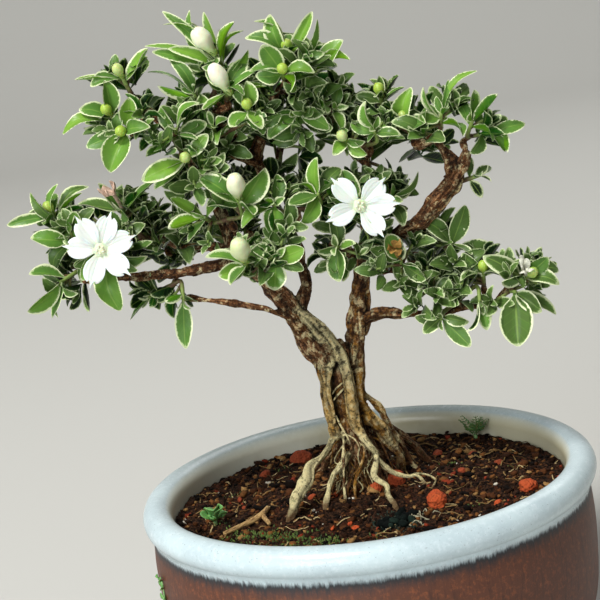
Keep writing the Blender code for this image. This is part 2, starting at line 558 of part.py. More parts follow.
def turned_body(name, profile, steps, collection):
    """A profile of radius and height turned round the Z axis."""
    mesh = bpy.data.meshes.new(name)
    edges = [(i, i + 1) for i in range(len(profile) - 1)]
    mesh.from_pydata([(MM * r, 0, MM * z) for r, z in profile], edges, [])
    obj = add_object(name, mesh, collection)
    turn = obj.modifiers.new("turn", "SCREW")
    turn.steps = steps
    turn.render_steps = steps
    turn.use_merge_vertices = True
    turn.merge_threshold = 0.01 * MM
    return settled(obj)


def inner_wall():
    """The pot's inside, as radius and height from the floor up to the lip."""
    return [(36, FLOOR), (42.4, 9.5), (45.3, 20), (45.7, 31), (45.3, 39)]


def make_pot(rooms):
    """The pot: a fat rolled lip, a body that bulges a little and curves in to a flat foot."""
    lip_circle = RIM_RADIUS - LIP_RADIUS
    lip = []
    for degrees in range(190, -56, -35):
        angle = math.radians(degrees)
        lip.append((lip_circle + LIP_RADIUS * math.cos(angle), LIP_HEIGHT + LIP_RADIUS * math.sin(angle)))
    outside = [(50.2, 37.6), (50.6, 29), (50.1, 19), (49, 12.5), (47, 7.5), (44.2, 3), (42.2, 0.7),
               (FOOT_RADIUS, 0)]
    pot = turned_body("pot", [(0, FLOOR)] + inner_wall() + lip + outside + [(0, 0)], POT_STEPS, rooms["working"])
    rooms["working"].objects.unlink(pot)
    rooms["serissa_bonsai"].objects.link(pot)
    drills = []
    for k in range(DRAIN_HOLES):
        angle = 2 * math.pi * k / DRAIN_HOLES
        x = DRAIN_CIRCLE * math.cos(angle)
        y = DRAIN_CIRCLE * math.sin(angle)
        drills.append(tube("drain_drill", [(x, y, -1, DRAIN_RADIUS), (x, y, FLOOR + 1, DRAIN_RADIUS)], 8,
                           rooms["working"]))
    cut(pot, drills, rooms)
    finish(pot, GLAZE, 0.25)


def make_drain_mesh(rooms):
    """The disc of mesh that keeps the soil off the drain holes."""
    low = FLOOR + GAP
    profile = [(0, low + MESH_THICKNESS), (MESH_RADIUS, low + MESH_THICKNESS), (MESH_RADIUS, low), (0, low)]
    disc = turned_body("drain_mesh", profile, 24, rooms["serissa_bonsai"])
    finish(disc, PLASTIC, 0.6)


def granule(name, x, y, radius, grow, collection):
    """A lumpy clay granule, sunk by a third of its radius."""
    mesh = bpy.data.meshes.new(name)
    ball = bmesh.new()
    bmesh.ops.create_icosphere(ball, subdivisions=2, radius=1)
    for vert in ball.verts:
        lump = 1 + 0.08 * math.sin(3 * vert.co.x + x) + 0.08 * math.cos(4 * vert.co.y + y)
        vert.co = vert.co * MM * (radius * lump + grow)
        vert.co.z *= 0.85
        vert.co += Vector((MM * x, MM * y, MM * (soil_height(x, y) + 0.35 * radius)))
    ball.to_mesh(mesh)
    ball.free()
    return add_object(name, mesh, collection)


def make_granules(rooms):
    """The red clay granules that show on the soil."""
    for k, (x, y, radius) in enumerate(GRANULES):
        stone = granule(f"clay_granule_{k + 1}", x, y, radius, 0, rooms["serissa_bonsai"])
        finish(stone, CLAY, 0.9)


def weed_stem(place, grow):
    """The route of a weed's stem, from in the soil to its crown."""
    x, y = place[:2]
    top = soil_height(x, y)
    radius = STEM_RADIUS + grow
    return [(x, y, top - 5 - grow, radius), (x, y, top + 1.6, radius)]


def make_soil(rooms):
    """The soil: it fills the pot, mounded under the trunk, with plain holes for what stands in it."""
    edge = inner_wall()[-1][0] - GAP
    rings = [(edge * k / 7, SOIL_EDGE) for k in range(8)]
    side = [(r - GAP, z) for r, z in reversed(inner_wall()[1:-1])]
    low = FLOOR + GAP
    step = low + MESH_THICKNESS + GAP
    foot = [(36 - GAP, low), (MESH_RADIUS + GAP, low), (MESH_RADIUS + GAP, step), (0, step)]
    soil = turned_body("soil", rings + side + foot, POT_STEPS, rooms["serissa_bonsai"])
    for vert in soil.data.vertices:
        if vert.co.z > MM * (SOIL_EDGE - 0.1):
            vert.co.z = MM * soil_height(vert.co.x / MM, vert.co.y / MM)
    cutters = []
    for name, route in list(ROOTS.items()) + [("core", CORE[:4])]:
        wide = [(x, y, z, 1.12 * radius + GAP + 0.1) for x, y, z, radius in route if z < 52]
        x, y, z, radius = min(wide, key=lambda point: point[2])
        wide = sorted(wide, key=lambda point: -point[2]) + [(x, y, z - GAP - 0.1, radius)]
        cutters.append(tube("socket_" + name, wide, 6, rooms["working"]))
    for k, (x, y, radius) in enumerate(GRANULES):
        cutters.append(granule(f"pocket_{k}", x, y, radius, GAP + 0.05, rooms["working"]))
    for name, place in WEEDS.items():
        cutters.append(tube("socket_" + name, weed_stem(place, GAP + 0.05), 6, rooms["working"]))
    cut(soil, cutters, rooms)
    finish(soil, SOIL, 0.95)


def branch_routes():
    """Each branch's points in space, with their radii."""
    return {name: [(*seen(x, z, depth), radius) for x, z, depth, radius in route]
            for name, route in BRANCHES.items()}


def wood_samples(routes):
    """Points and radii close along all routes, to measure distances from."""
    places = []
    radii = []
    for route in routes:
        route = vec(route)
        for a, b in zip(route[:-1], route[1:]):
            steps = max(2, int(np.linalg.norm(b[:3] - a[:3]) / 0.8))
            for k in range(steps + 1):
                p = a + (b - a) * k / steps
                places.append(p[:3])
                radii.append(p[3])
    return vec(places), vec(radii)


def head_parts(head):
    """A head's centre, the way it faces, and the foot of its shoot."""
    (x, z, depth), face = head[:2]
    centre = seen(x, z, depth)
    face = unit(vec(face))
    return centre, face, centre - face * SHOOT_LENGTH


def spray_seat(heads):
    """Where a spray's stem begins, and the direction in which it leaves: the foot of a single head's
    shoot, or a little behind the middle of the feet of two."""
    feet = sum(head_parts(head)[2] for head in heads) / len(heads)
    lean = unit(sum(head_parts(head)[0] for head in heads) / len(heads) - feet)
    if len(heads) > 1:
        feet = feet - lean * STEM_KNEE
    return feet, lean


def twig_route(seat, lean, places, radii):
    """A twig from the nearest wood to just short of a spray's seat."""
    nearest = np.argmin(np.linalg.norm(places - seat, axis=1))
    start = places[nearest]
    end = seat - lean * GAP
    bend = end - lean * max(0.9, 0.35 * np.linalg.norm(end - start))
    thick = min(radii[nearest], 0.95)
    return [(*start, thick), (*bend, 0.5 * (thick + STEM_RADIUS) + 0.05), (*end, STEM_RADIUS + 0.05)]


def stem_routes(heads):
    """A spray's stems: the first from its seat, a second out of the first, each to a head's centre."""
    centre, face, foot = head_parts(heads[0])
    seat, lean = spray_seat(heads)
    if len(heads) == 1:
        return [[(*seat, STEM_RADIUS), (*centre, STEM_RADIUS)]]
    knee = seat + lean * STEM_KNEE
    routes = [[(*seat, STEM_RADIUS), (*knee, STEM_RADIUS), (*foot, STEM_RADIUS), (*centre, STEM_RADIUS)]]
    for head in heads[1:]:
        centre, face, foot = head_parts(head)
        routes.append([(*knee, 0.8 * STEM_RADIUS), (*foot, STEM_RADIUS), (*centre, STEM_RADIUS)])
    return routes


def leaf_plans(head, chance):
    """Base, tip, width, facing and stations of a head's leaves: the hand-set ones, then pairs by rule."""
    (x, z, depth), face, size, pairs, crown, marks = head
    centre, face, foot = head_parts(head)
    plans = []
    for k, (tip_x, tip_z, forward, width) in enumerate(marks):
        base = centre - face * (0.7 + 0.7 * k)
        plans.append((base, seen(tip_x, tip_z, depth - forward), width, face, LEAF_STATIONS))
    side = across(vec((1, 0.2, 0.3)), face)
    start = chance.uniform(0, 360)
    rows = pairs + (1 if crown == "" and len(marks) < 3 else 0)
    for row in range(rows):
        open_angle = (78 - 12 * row) * chance.uniform(0.9, 1.1)
        base = centre - face * (0.45 + PAIR_SPACING * (rows - 1 - row))
        length = size * (1.05 - 0.17 * row) * chance.uniform(0.85, 1.15)
        if row == pairs:
            open_angle = TIP_LEAF_ANGLE
            length = TIP_LEAF_SHARE * size
        for half in (0, 180):
            swing = start + 90 * row + half + chance.uniform(-14, 14)
            way = turned(face, side, open_angle + chance.uniform(-8, 8))
            way = turned(way, face, swing)
            plans.append((base, base + way * length, LEAF_WIDTH_RATIO * length, face, SMALL_LEAF_STATIONS))
    return plans


def bent(plan):
    """The leaf as planned, then bent aside step by step, then shorter."""
    base, tip, width, facing, stations = plan
    way = tip - base
    up = across(facing, unit(way))
    side = np.cross(unit(way), up)
    for scale in (1, 0.86, 0.72):
        for lift, swing in ((0, 0), (12, 0), (-12, 0), (0, 14), (0, -14), (24, 0), (-24, 0), (14, 22), (14, -22),
                            (-14, 22), (-14, -22), (38, 0), (-38, 0), (0, 36), (0, -36)):
            turn = turned(turned(way, side, lift), up, swing)
            yield base, base + turn * scale, width * (0.5 + 0.5 * scale), facing, stations


def tree_of(solids):
    """A search tree over the triangles of several solids."""
    points = []
    faces = []
    for solid_points, solid_faces in solids:
        offset = len(points)
        points.extend(Vector(p) for p in solid_points)
        faces.extend(tuple(i + offset for i in face) for face in solid_faces)
    return BVHTree.FromPolygons(points, faces)


def swollen(plan):
    """A leaf's outline grown by the clearance, starting clear of the stem."""
    base, tip, width, facing, stations = plan
    way = unit(tip - base)
    return blade(base + way * 1.1, tip + way * 2 * CLEARANCE, width + 2.5 * CLEARANCE, facing,
                 LEAF_THICKNESS + 2.5 * CLEARANCE, 0.1, ((0.02, 0.5),) + stations)


def stem_shell(route):
    """A coarse skin round a stem, for distance tests."""
    rings = []
    for k, (x, y, z, radius) in enumerate(route):
        here = vec((x, y, z))
        ahead = vec(route[min(k + 1, len(route) - 1)][:3]) - vec(route[max(k - 1, 0)][:3])
        u = across(vec((0.3, 0.9, 0.2)), unit(ahead))
        v = np.cross(unit(ahead), u)
        spread = SLEEVE_EASE * (radius + CLEARANCE)
        turn = [math.pi * k / 3 for k in range(6)]
        rings.append([here + spread * (math.cos(a) * u + math.sin(a) * v) for a in turn])
    return loft(rings, vec(route[0][:3]), vec(route[-1][:3]))


BUD_SINK = 0.5
SMALL_BUD = (3.6, 2.4)
BUD_STATIONS = ((0.08, 0.36), (0.28, 0.5), (0.5, 0.9), (0.7, 1), (0.9, 0.68))
SMALL_BUD_STATIONS = ((0.3, 0.7), (0.74, 1))


def bud_solid(start, face, length, width, sides, grow=0, stations=BUD_STATIONS):
    """A plump bud on a slim foot, fullest past its middle, from its stem to a blunt point."""
    u = across(vec((1, 0.1, 0.2)), face)
    v = np.cross(face, u)
    rings = []
    for share, spread in stations:
        middle = start + face * length * share
        radius = 0.5 * width * spread + grow
        angles = [2 * math.pi * k / sides for k in range(sides)]
        rings.append([middle + radius * (math.cos(a) * u + math.sin(a) * v) for a in angles])
    return loft(rings, start - face * grow, start + face * (length + grow))


def bloom_solids(name, head, grow=0):
    """A bloom: a slim tube that opens to a throat, and its petals round the throat."""
    angles, length = BLOOMS[name]
    centre, face, foot = head_parts(head)
    start = centre + face * GAP
    throat = start + face * BLOOM_TUBE
    u = across(vec((1, 0, 0)), face)
    v = np.cross(u, face)
    solids = []
    rings = []
    for share, radius in ((0, 0.7), (0.5, 0.9), (0.9, 1.8)):
        middle = start + face * BLOOM_TUBE * share
        turn = [2 * math.pi * k / 6 for k in range(6)]
        rings.append([middle + (radius + grow) * (math.cos(a) * u + math.sin(a) * v) for a in turn])
    solids.append(loft(rings, start, throat))
    for degrees in angles:
        angle = math.radians(degrees)
        out = math.cos(angle) * u - math.sin(angle) * v
        tip = throat + out * (length + grow) + face * PETAL_LIFT
        base = throat - face * PETAL_SINK + out * PETAL_INSET
        solids.append(blade(base, tip, PETAL_WIDTH + 2 * grow, face, PETAL_THICKNESS + 2 * grow, PETAL_CUP,
                            PETAL_STATIONS))
    return solids


def plan_plant():
    """Lay the plant out: twigs, stems, blooms, buds, and the leaves that clear all of them."""
    branches = branch_routes()
    roots = list(ROOTS.values()) + list(STRANDS.values()) + [CORE]
    places, radii = wood_samples(branches.values())
    twigs = {name: twig_route(*spray_seat(heads), places, radii) for name, heads in SPRAYS.items()}
    wood = roots + list(branches.values()) + list(twigs.values())
    fixed = {name: [] for name in SPRAYS}
    for name, heads in SPRAYS.items():
        fixed[name].extend(stem_shell(route) for route in stem_routes(heads))
        for head in heads:
            centre, face, foot = head_parts(head)
            if head[4] == "bloom":
                fixed[name].extend(bloom_solids(name, head, CLEARANCE))
            if head[4] == "large bud":
                length, width = LARGE_BUDS[name]
                fixed[name].append(bud_solid(centre + face * GAP, face, length, width, 8, CLEARANCE))
    wood_shells = [stem_shell(route) for route in wood]
    leaves = {}
    for number, (name, heads) in enumerate(SPRAYS.items()):
        chance = random.Random(100 + number)
        others = [solid for other in SPRAYS if other != name for solid in fixed[other]]
        own = [solid for head in heads for solid in petals_of(name, head)]
        for done, plans in leaves.items():
            others.extend(leaf_blade(*plan) for plan in plans)
        obstacles = tree_of(wood_shells + others + own)
        leaves[name] = []
        for head in heads:
            for plan in leaf_plans(head, chance):
                chosen = first_clear(plan, obstacles, leaves[name])
                if chosen is not None:
                    leaves[name].append(chosen)
    return branches, twigs, leaves


def petals_of(name, head):
    """What a spray's own leaves must clear at the tip of its head."""
    centre, face, foot = head_parts(head)
    if head[4] == "bloom":
        return bloom_solids(name, head, CLEARANCE)[1:]
    if head[4] == "large bud":
        length, width = LARGE_BUDS[name]
        return [bud_solid(centre + face * GAP, face, length, width, 8, CLEARANCE)]
    return []


def first_clear(plan, obstacles, siblings):
    """The first way of bending the leaf that meets nothing."""
    near = tree_of([leaf_blade(*other) for other in siblings]) if siblings else None
    for attempt in bent(plan):
        test = tree_of([swollen(attempt)])
        if test.overlap(obstacles):
            continue
        if near is not None and test.overlap(near):
            continue
        return attempt
    return None


def make_wood(branches, twigs, rooms):
    """All that is grown as one woody body: roots, trunk strands, branches and twigs."""
    work = rooms["working"]
    pieces = [tube("core", CORE, 6, work)]
    pieces += [tube(name, route, 6, work) for name, route in STRANDS.items()]
    for name, route in list(ROOTS.items()) + list(branches.items()):
        thickest = max(point[3] for point in route)
        pieces.append(tube(name, route, 6 if thickest > 1.45 else 4, work))
    pieces += [tube(name, route, 4, work) for name, route in twigs.items()]
    wood = joined("tree_wood", pieces, rooms)
    finish(wood, BARK, 0.85)


def make_sprays(leaves, rooms):
    """Each leafy spray: its stems, its leaves and its small buds, fused."""
    work = rooms["working"]
    for name, heads in SPRAYS.items():
        pieces = [tube("stem", route, 4, work) for route in stem_routes(heads)]
        pieces += [mesh_object("leaf", *leaf_blade(*plan), work) for plan in leaves[name]]
        for head in heads:
            if head[4] == "bud":
                centre, face, foot = head_parts(head)
                solid = bud_solid(centre - face * BUD_SINK, face, *SMALL_BUD, 5, 0, SMALL_BUD_STATIONS)
                pieces.append(mesh_object("bud", *solid, work))
        spray = joined("spray_" + name, pieces, rooms)
        finish(spray, LEAF, 0.4)


def make_blooms(rooms):
    """The open blooms, each fused from its tube and petals."""
    for name, heads in SPRAYS.items():
        for head in heads:
            if head[4] == "bloom":
                parts = bloom_solids(name, head)
                pieces = [mesh_object("petal", *part, rooms["working"]) for part in parts]
                bloom = joined("bloom_" + name.split("_")[0], pieces, rooms)
                finish(bloom, PETAL, 0.5)
            if head[4] == "large bud":
                centre, face, foot = head_parts(head)
                length, width = LARGE_BUDS[name]
                solid = bud_solid(centre + face * GAP, face, length, width, 8)
                bud = mesh_object("flower_" + name, *solid, rooms["serissa_bonsai"])
                finish(bud, BUD, 0.5)


def make_weeds(rooms):
    """The small weeds in the soil: round leaves on a short stem."""
    for name, place in WEEDS.items():
        x, y, count, length, lean = place
        route = weed_stem(place, 0)
        crown = vec(route[-1][:3]) - vec((0, 0, 0.5))
        pieces = [tube("stem", route, 4, rooms["working"])]
        for k in range(count):
            angle = 2.4 * k
            rise = 0.35 + (1 - lean) * 1.6 + 0.35 * (k % 3)
            way = unit(vec((math.cos(angle), math.sin(angle), rise)))
            reach = length * (0.8 + 0.12 * (k % 3))
            solid = leaf_blade(crown, crown + way * reach, (0.3 + 0.4 * lean) * reach, vec((0, 0, 1)))
            pieces.append(mesh_object("leaf", *solid, rooms["working"]))
        weed = joined(name, pieces, rooms)
        finish(weed, WEED, 0.5)


def make_dead_rootlet(rooms):
    """The dry rootlet that lies on the soil, with its short leg."""
    lift = 1.3
    route = [(x, y, soil_height(x, y) + lift, radius) for x, y, radius in DEAD_ROOTLET]
    x, y, z, radius = route[2]
    leg = [(x, y, z, 0.6), (x + 0.9, y - 3, z - 0.4, 0.5), (x + 1.4, y - 6, soil_height(x + 1.4, y - 6) + 1, 0.45)]
    pieces = [tube("run", route, 6, rooms["working"]), tube("leg", leg, 6, rooms["working"])]
    rootlet = joined("dead_rootlet", pieces, rooms)
    finish(rootlet, STRAW, 0.8)


def main():
    """Build the whole plant in its pot."""
    rooms = start_scene()
    make_pot(rooms)
    make_drain_mesh(rooms)
    make_soil(rooms)
    make_granules(rooms)
    make_weeds(rooms)
    make_dead_rootlet(rooms)
    branches, twigs, leaves = plan_plant()
    make_wood(branches, twigs, rooms)
    make_sprays(leaves, rooms)
    make_blooms(rooms)
    bpy.data.collections.remove(rooms["working"])


main()
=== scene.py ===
"""Serissa pre-bonsai in its pot: its looks, laid out as an add-on and run as a script.

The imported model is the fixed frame. Every piece made here is a surface worked out in numpy: a function
of two parameters on a grid, or a profile carried along a path. Shapes are worked out in millimetres and
become meshes in metres; +Z is up and the front is -Y, as in the frame.
"""

import math
import random

import bpy
import numpy as np
from mathutils import Matrix


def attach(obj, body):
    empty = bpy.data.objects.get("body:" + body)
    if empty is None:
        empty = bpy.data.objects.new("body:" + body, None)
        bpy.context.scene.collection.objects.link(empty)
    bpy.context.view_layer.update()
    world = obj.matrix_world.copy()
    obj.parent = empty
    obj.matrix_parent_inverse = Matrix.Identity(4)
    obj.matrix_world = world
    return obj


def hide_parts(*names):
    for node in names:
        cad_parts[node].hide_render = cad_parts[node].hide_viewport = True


bl_info = {
    "name": "Serissa pre-bonsai",
    "version": (1, 0, 0),
    "blender": (4, 5, 0),
    "location": "3D Viewport > Sidebar > Serissa",
    "description": "Builds the pot, soil, wood, leaves and flowers of a potted serissa over its CAD frame",
    "category": "Add Mesh",
}

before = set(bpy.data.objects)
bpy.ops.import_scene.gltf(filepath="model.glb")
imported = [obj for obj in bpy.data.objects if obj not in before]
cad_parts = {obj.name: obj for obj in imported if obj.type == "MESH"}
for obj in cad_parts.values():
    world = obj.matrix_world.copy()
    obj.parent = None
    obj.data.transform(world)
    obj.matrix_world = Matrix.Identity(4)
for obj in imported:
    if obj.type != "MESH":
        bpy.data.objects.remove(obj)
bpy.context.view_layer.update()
MM = 0.001

# The plant is set out from the front: a place is given by where it shows on the plane y = 0
# from this point, and then slid along that line of sight to its own depth.
SIGHT_POINT = np.array([-9.2, -366.1, 161.1])

# Roots and the strands of the trunk: x, y, z and radius at each point
ROOTS = {
    "left": [
        (-5.5, -2.4, 55, 1.15), (-7.9, -4, 52.6, 1), (-10.2, -5.2, 50.9, 1.1), (-12.4, -6.6, 49.4, 1.2),
        (-13.2, -8, 47, 1.3), (-16.3, -10, 44.5, 1.25), (-18, -12.2, 41.6, 1.05),
        (-18.8, -13.6, 38.5, 1), (-19, -14.4, 34, 0.8)],
    "left_inner": [
        (-3.5, -3, 50.5, 0.8), (-5.3, -4.5, 48.4, 0.75), (-7.3, -6, 47.2, 0.75), (-8.4, -7.5, 45.4, 0.7),
        (-9.2, -8.5, 43.4, 0.7), (-10.3, -9.6, 40.4, 0.65), (-10.8, -10.2, 34, 0.5)],
    "front": [
        (-0.2, -4.6, 56, 1.15), (0.5, -6, 53.7, 1), (2.4, -7, 51, 0.85), (2.4, -8, 49.4, 0.75),
        (1.5, -10, 47, 0.75), (2.8, -11, 45.6, 0.75), (4.1, -12, 44.4, 0.75), (3.9, -13.5, 42.6, 0.7),
        (5, -16, 40.2, 0.6), (5.4, -17.5, 34, 0.5)],
    "front_fork": [
        (2.4, -7.4, 50, 0.6), (5.8, -7.4, 46, 0.55), (9.2, -7.2, 44.4, 0.5), (11.3, -7, 44.2, 0.45),
        (13, -7.6, 41.4, 0.45), (13.8, -8, 37, 0.4)],
    "buttress": [
        (2, -0.8, 58, 1.4), (4.8, -0.6, 54.3, 1.5), (6, -0.4, 51.2, 1.4), (7.7, 0.4, 47.6, 1.2),
        (8.6, 3.2, 44, 1.1), (9.2, 5.5, 41, 1), (9.5, 6.5, 34, 0.8)],
    "right_arch": [
        (1.2, 0.4, 64.5, 0.7), (3.3, 0.8, 61.4, 0.85), (5.2, 1.2, 58.8, 0.9), (5.9, 1.6, 56.4, 0.9),
        (6.6, 2, 53.6, 0.95), (8.2, 2.4, 50.4, 0.9), (9.6, 3.2, 47, 0.8), (11.4, 4, 43.4, 0.7),
        (12.4, 4.4, 40, 0.6), (12.8, 4.6, 34, 0.5)],
    "right_rear": [
        (2.5, 3, 55, 1.4), (7, 6, 52, 1.25), (11, 8.5, 48, 1.1), (14, 10, 44, 1), (16, 11, 40, 0.9),
        (17, 11.6, 34, 0.7)],
    "rear_left": [
        (-3, 3.5, 54, 1.5), (-5, 9, 50, 1.25), (-7.5, 13, 46, 1.1), (-9.5, 16, 41.5, 0.9),
        (-10.5, 17.5, 35, 0.7)],
    "rear": [
        (0.5, 4, 54, 1.4), (3, 10, 50.5, 1.2), (4.5, 15, 46, 1), (5.5, 18.5, 41, 0.9), (6, 20, 34, 0.6)],
    "left_rear": [
        (-4.5, 2, 53, 1), (-7.8, 4.8, 50, 0.9), (-11, 7, 45.5, 0.8), (-13, 8.6, 41, 0.75),
        (-14, 9.6, 34, 0.5)],
    "rootlet_a": [
        (-3.9, -2.4, 55.5, 0.5), (-4.6, -5, 52, 0.45), (-5, -6.5, 49.4, 0.4), (-5.4, -7.6, 45, 0.4),
        (-5.7, -8.4, 40, 0.4), (-5.8, -8.8, 35, 0.4)],
    "rootlet_b": [
        (-0.4, -4.6, 55.4, 0.5), (0.2, -6, 52.6, 0.45), (-0.6, -6.8, 49.4, 0.42), (-2.9, -8, 45, 0.4),
        (-3.3, -8.8, 40, 0.4), (-3.4, -9.2, 35, 0.4)],
}
CORE = [(-1.2, 1, 36, 2.4), (-1.2, 1, 44, 3), (-1.5, 0.5, 50, 3.4), (-2, 0.1, 60, 3.2),
        (-2.2, 0, 68, 3.1), (-2.3, 0.2, 73, 2.8), (-2.6, 0, 76, 1.8)]
STRANDS = {
    "left": [
        (-5.7, -2.6, 54.5, 1.3), (-6.3, -2, 57.7, 1.4), (-6.4, -1.8, 61, 1.5), (-6.4, -1.6, 64.5, 1.5),
        (-6.3, -1.3, 68, 1.6), (-6.5, -0.9, 72.3, 1.8), (-8.6, -0.4, 78, 2), (-11.4, -0.6, 84, 1.3)],
    "front_left": [
        (-5.5, -2.9, 58, 0.55), (-5.4, -3.3, 61.2, 0.65), (-5.8, -3.1, 64.7, 0.7),
        (-5.5, -2.9, 68.2, 0.8), (-4.4, -2.5, 72.3, 1.05), (-4.8, -1.9, 75.5, 1.2),
        (-7.6, -1.2, 80, 1.3), (-11.2, -0.8, 85, 1)],
    "front": [
        (-0.2, -4.6, 55.6, 1.2), (-1.2, -4.1, 58, 1.35), (-1.2, -3.9, 61, 1.4), (-1.1, -3.7, 65, 1.4),
        (-1, -3.3, 68.7, 1.35), (-1.7, -2.7, 72.8, 1.3), (-3, -1.8, 76, 1.25), (-5.6, -1.2, 80, 1.2),
        (-10.4, -0.8, 85, 1)],
    "right": [
        (2, -0.8, 56.5, 1.5), (1.3, -1.2, 62, 1.35), (1.1, -1, 67, 1.4), (1.7, -0.4, 72, 1.6),
        (2.8, 0.2, 78, 2.1), (3.6, 0.2, 84, 1.4)],
    "rear_right": [
        (1, 3, 54, 1.9), (0.3, 3, 61, 1.8), (0, 2.8, 67, 1.8), (0.9, 1.9, 73, 1.8), (2.7, 0.9, 79, 1.8),
        (3.8, 0.4, 85, 1.2)],
    "rear_left": [
        (-3.8, 3.2, 53, 2), (-4, 3.2, 60, 2), (-4.3, 2.8, 66, 2), (-5.4, 2, 72, 2.1), (-8.4, 1, 79, 2),
        (-11.6, 0.6, 85, 1.3)],
}

# Branches: x and z as seen, depth y, and radius at each point
BRANCHES = {
    "left_stem": [
        (-5, 72, -0.5, 3), (-8, 78.5, -0.5, 2.8), (-11, 84, -0.5, 2.6), (-14, 89, 0, 2.4),
        (-17, 93.5, 1, 2.1), (-20.5, 98, 1, 1.7), (-22.5, 104, 2, 1.5), (-24, 110, 2, 1.4),
        (-25, 116, 1, 1.3), (-27.5, 121.5, 0, 1.2), (-31.5, 127, -1, 1.1), (-35, 132, -1, 1),
        (-37.2, 135.2, -2, 0.8)],
    "left_arm": [
        (-18, 95, 0.5, 1.3), (-22, 97, -1, 1.3), (-28, 97.3, -3, 1.2), (-35, 97, -4, 1.1),
        (-42, 97.2, -6, 1), (-49, 97.5, -7, 0.9), (-56, 98, -8, 0.7)],
    "left_upper_arm": [
        (-21.5, 100.5, 1.5, 1.05), (-28, 101.5, 3, 1), (-35, 103.5, 8, 0.95), (-42, 107, 10, 0.85),
        (-49, 109, 8, 0.8), (-54, 110, 5, 0.65)],
    "low_twig": [
        (-10.6, 82, -1, 0.8), (-18, 86, -3, 0.75), (-25, 88.6, -3, 0.7), (-32, 90.6, -1, 0.65),
        (-38, 92, 1, 0.6)],
    "centre_stem": [
        (-9.6, 84, 0, 1.5), (-7.8, 90, 1, 1.4), (-7.5, 97, 3, 1.3), (-9.5, 104, 5, 1.3),
        (-12, 111, 6, 1.2), (-13.5, 118, 6, 1.3), (-12.5, 124, 5, 1.2), (-9.5, 129.5, 3, 1),
        (-7, 134, 1, 0.8)],
    "crown_left_arm": [
        (-13.4, 119, 6, 1.1), (-18, 123, 4, 1), (-21, 127.5, 3, 0.9), (-21.6, 131, 3, 0.8)],
    "crown_low_arm": [
        (-13.4, 118, 6, 1), (-19, 121, 4, 0.9), (-24, 122.4, 1, 0.8)],
    "right_stem": [
        (2.7, 77, 0.3, 2.2), (3.5, 82, 0.3, 2.2), (4.5, 88, 0, 1.9), (6, 94, 1, 1.6), (8.5, 100, 3, 1.4),
        (9.5, 107, 5, 1.25), (10, 114, 5, 1.1), (10.8, 119, 4, 0.9), (12.5, 124, 2, 0.75)],
    "top_right_arm": [
        (10, 114, 5, 1.1), (6.5, 119, 5, 1), (4, 124, 4, 0.9), (1.5, 129.5, 2, 0.8)],
    "golden_arm": [
        (4.8, 90, 0, 1.6), (10, 94.5, -1, 1.55), (16, 98.5, -2, 1.65), (21.5, 102, -4, 1.95),
        (26, 106, -5, 2.1), (29, 110, -6, 2), (26.8, 115, -5, 1.1), (25.5, 118.5, -5, 0.8)],
    "golden_fork": [
        (28.6, 109, -6, 1.7), (31.2, 112.6, -7, 1.3), (32, 114.4, -7, 0.9)],
    "right_arm": [
        (3.4, 80.5, 0, 1.5), (8.5, 81.2, -2, 1.25), (14, 79.8, -3, 1.1), (20, 79.2, -3, 1),
        (27, 79.2, -3, 0.9), (31, 79.2, -4.5, 0.85), (34, 79.4, -5.5, 0.75)],
    "right_mid_arm": [
        (5.6, 92, 0.5, 1.2), (10, 90.5, 0, 1.1), (15, 90.2, 0, 1), (20.5, 91, 0, 0.8)],
    "rear_left_arm": [
        (-15, 90.5, 0.5, 1.4), (-17, 95, 8, 1.15), (-20, 99, 15, 0.9), (-27, 101, 18, 0.75),
        (-36, 101, 18, 0.65)],
    "rear_right_arm": [
        (4.6, 89, 0.5, 1.3), (7, 93, 7, 1.1), (11, 96, 13, 0.9), (17, 97, 16, 0.75)],
    "rear_crown_arm": [
        (-12, 111, 6.5, 1.1), (-10.5, 115, 11, 1), (-8.5, 121, 14, 0.8), (-7, 128, 14, 0.7)],
    "front_left_arm": [
        (-17, 93.5, 0.5, 1.3), (-17, 94, -6, 1.1), (-16.8, 94.2, -8, 0.9)],
    "front_right_arm": [
        (8, 99, 2.5, 1.1), (7.2, 101, -1, 0.9), (6.6, 103, -3, 0.7)],
}

# How cream and how golden the bark of a route is, from 0 to 1
BARK_TONES = {
    "root_left": (1.2, 0.15), "root_left_inner": (1.0, 0.3), "root_front": (1.0, 0.3),
    "root_front_fork": (0.7, 0.2), "root_buttress": (0.34, 0.5), "root_right_arch": (0.42, 0.15),
    "root_right_rear": (0.05, 0), "root_rear": (0.1, 0), "root_rear_left": (0.1, 0),
    "root_left_rear": (0.05, 0), "root_rootlet_a": (0.55, 0.2), "root_rootlet_b": (0.3, 0.6),
    "strand_left": (0.55, 0.6), "strand_front_left": (0.95, 0.45), "strand_front": (0.95, 0.5),
    "strand_right": (0.3, 0.4), "strand_rear_right": (0.1, 0.1), "strand_rear_left": (0.1, 0.35),
    "core": (-0.1, 0), "left_stem": (0.16, 0.12), "left_arm": (-0.1, 0.0), "right_stem": (0.25, 0.45),
    "golden_arm": (0.16, 0.2), "golden_fork": (0.16, 0.2), "right_arm": (0.1, 0.3), "twig": (0.1, 0.2),
}
USUAL_TONE = (0.1, 0.08)

# How many ridges run along a strand
RIDGES = {
    "root_left": 2, "root_buttress": 3, "root_right_rear": 2, "strand_left": 3, "strand_front": 3,
    "strand_right": 3, "strand_rear_right": 3, "strand_rear_left": 3, "left_stem": 5, "right_stem": 5,
    "golden_arm": 5, "golden_fork": 3, "centre_stem": 3, "left_arm": 3, "right_arm": 2,
}

# How many stubs of old twigs stand on a branch
STUBS = {"golden_arm": 9, "right_stem": 9, "left_stem": 8, "centre_stem": 4, "left_arm": 5, "right_arm": 4}

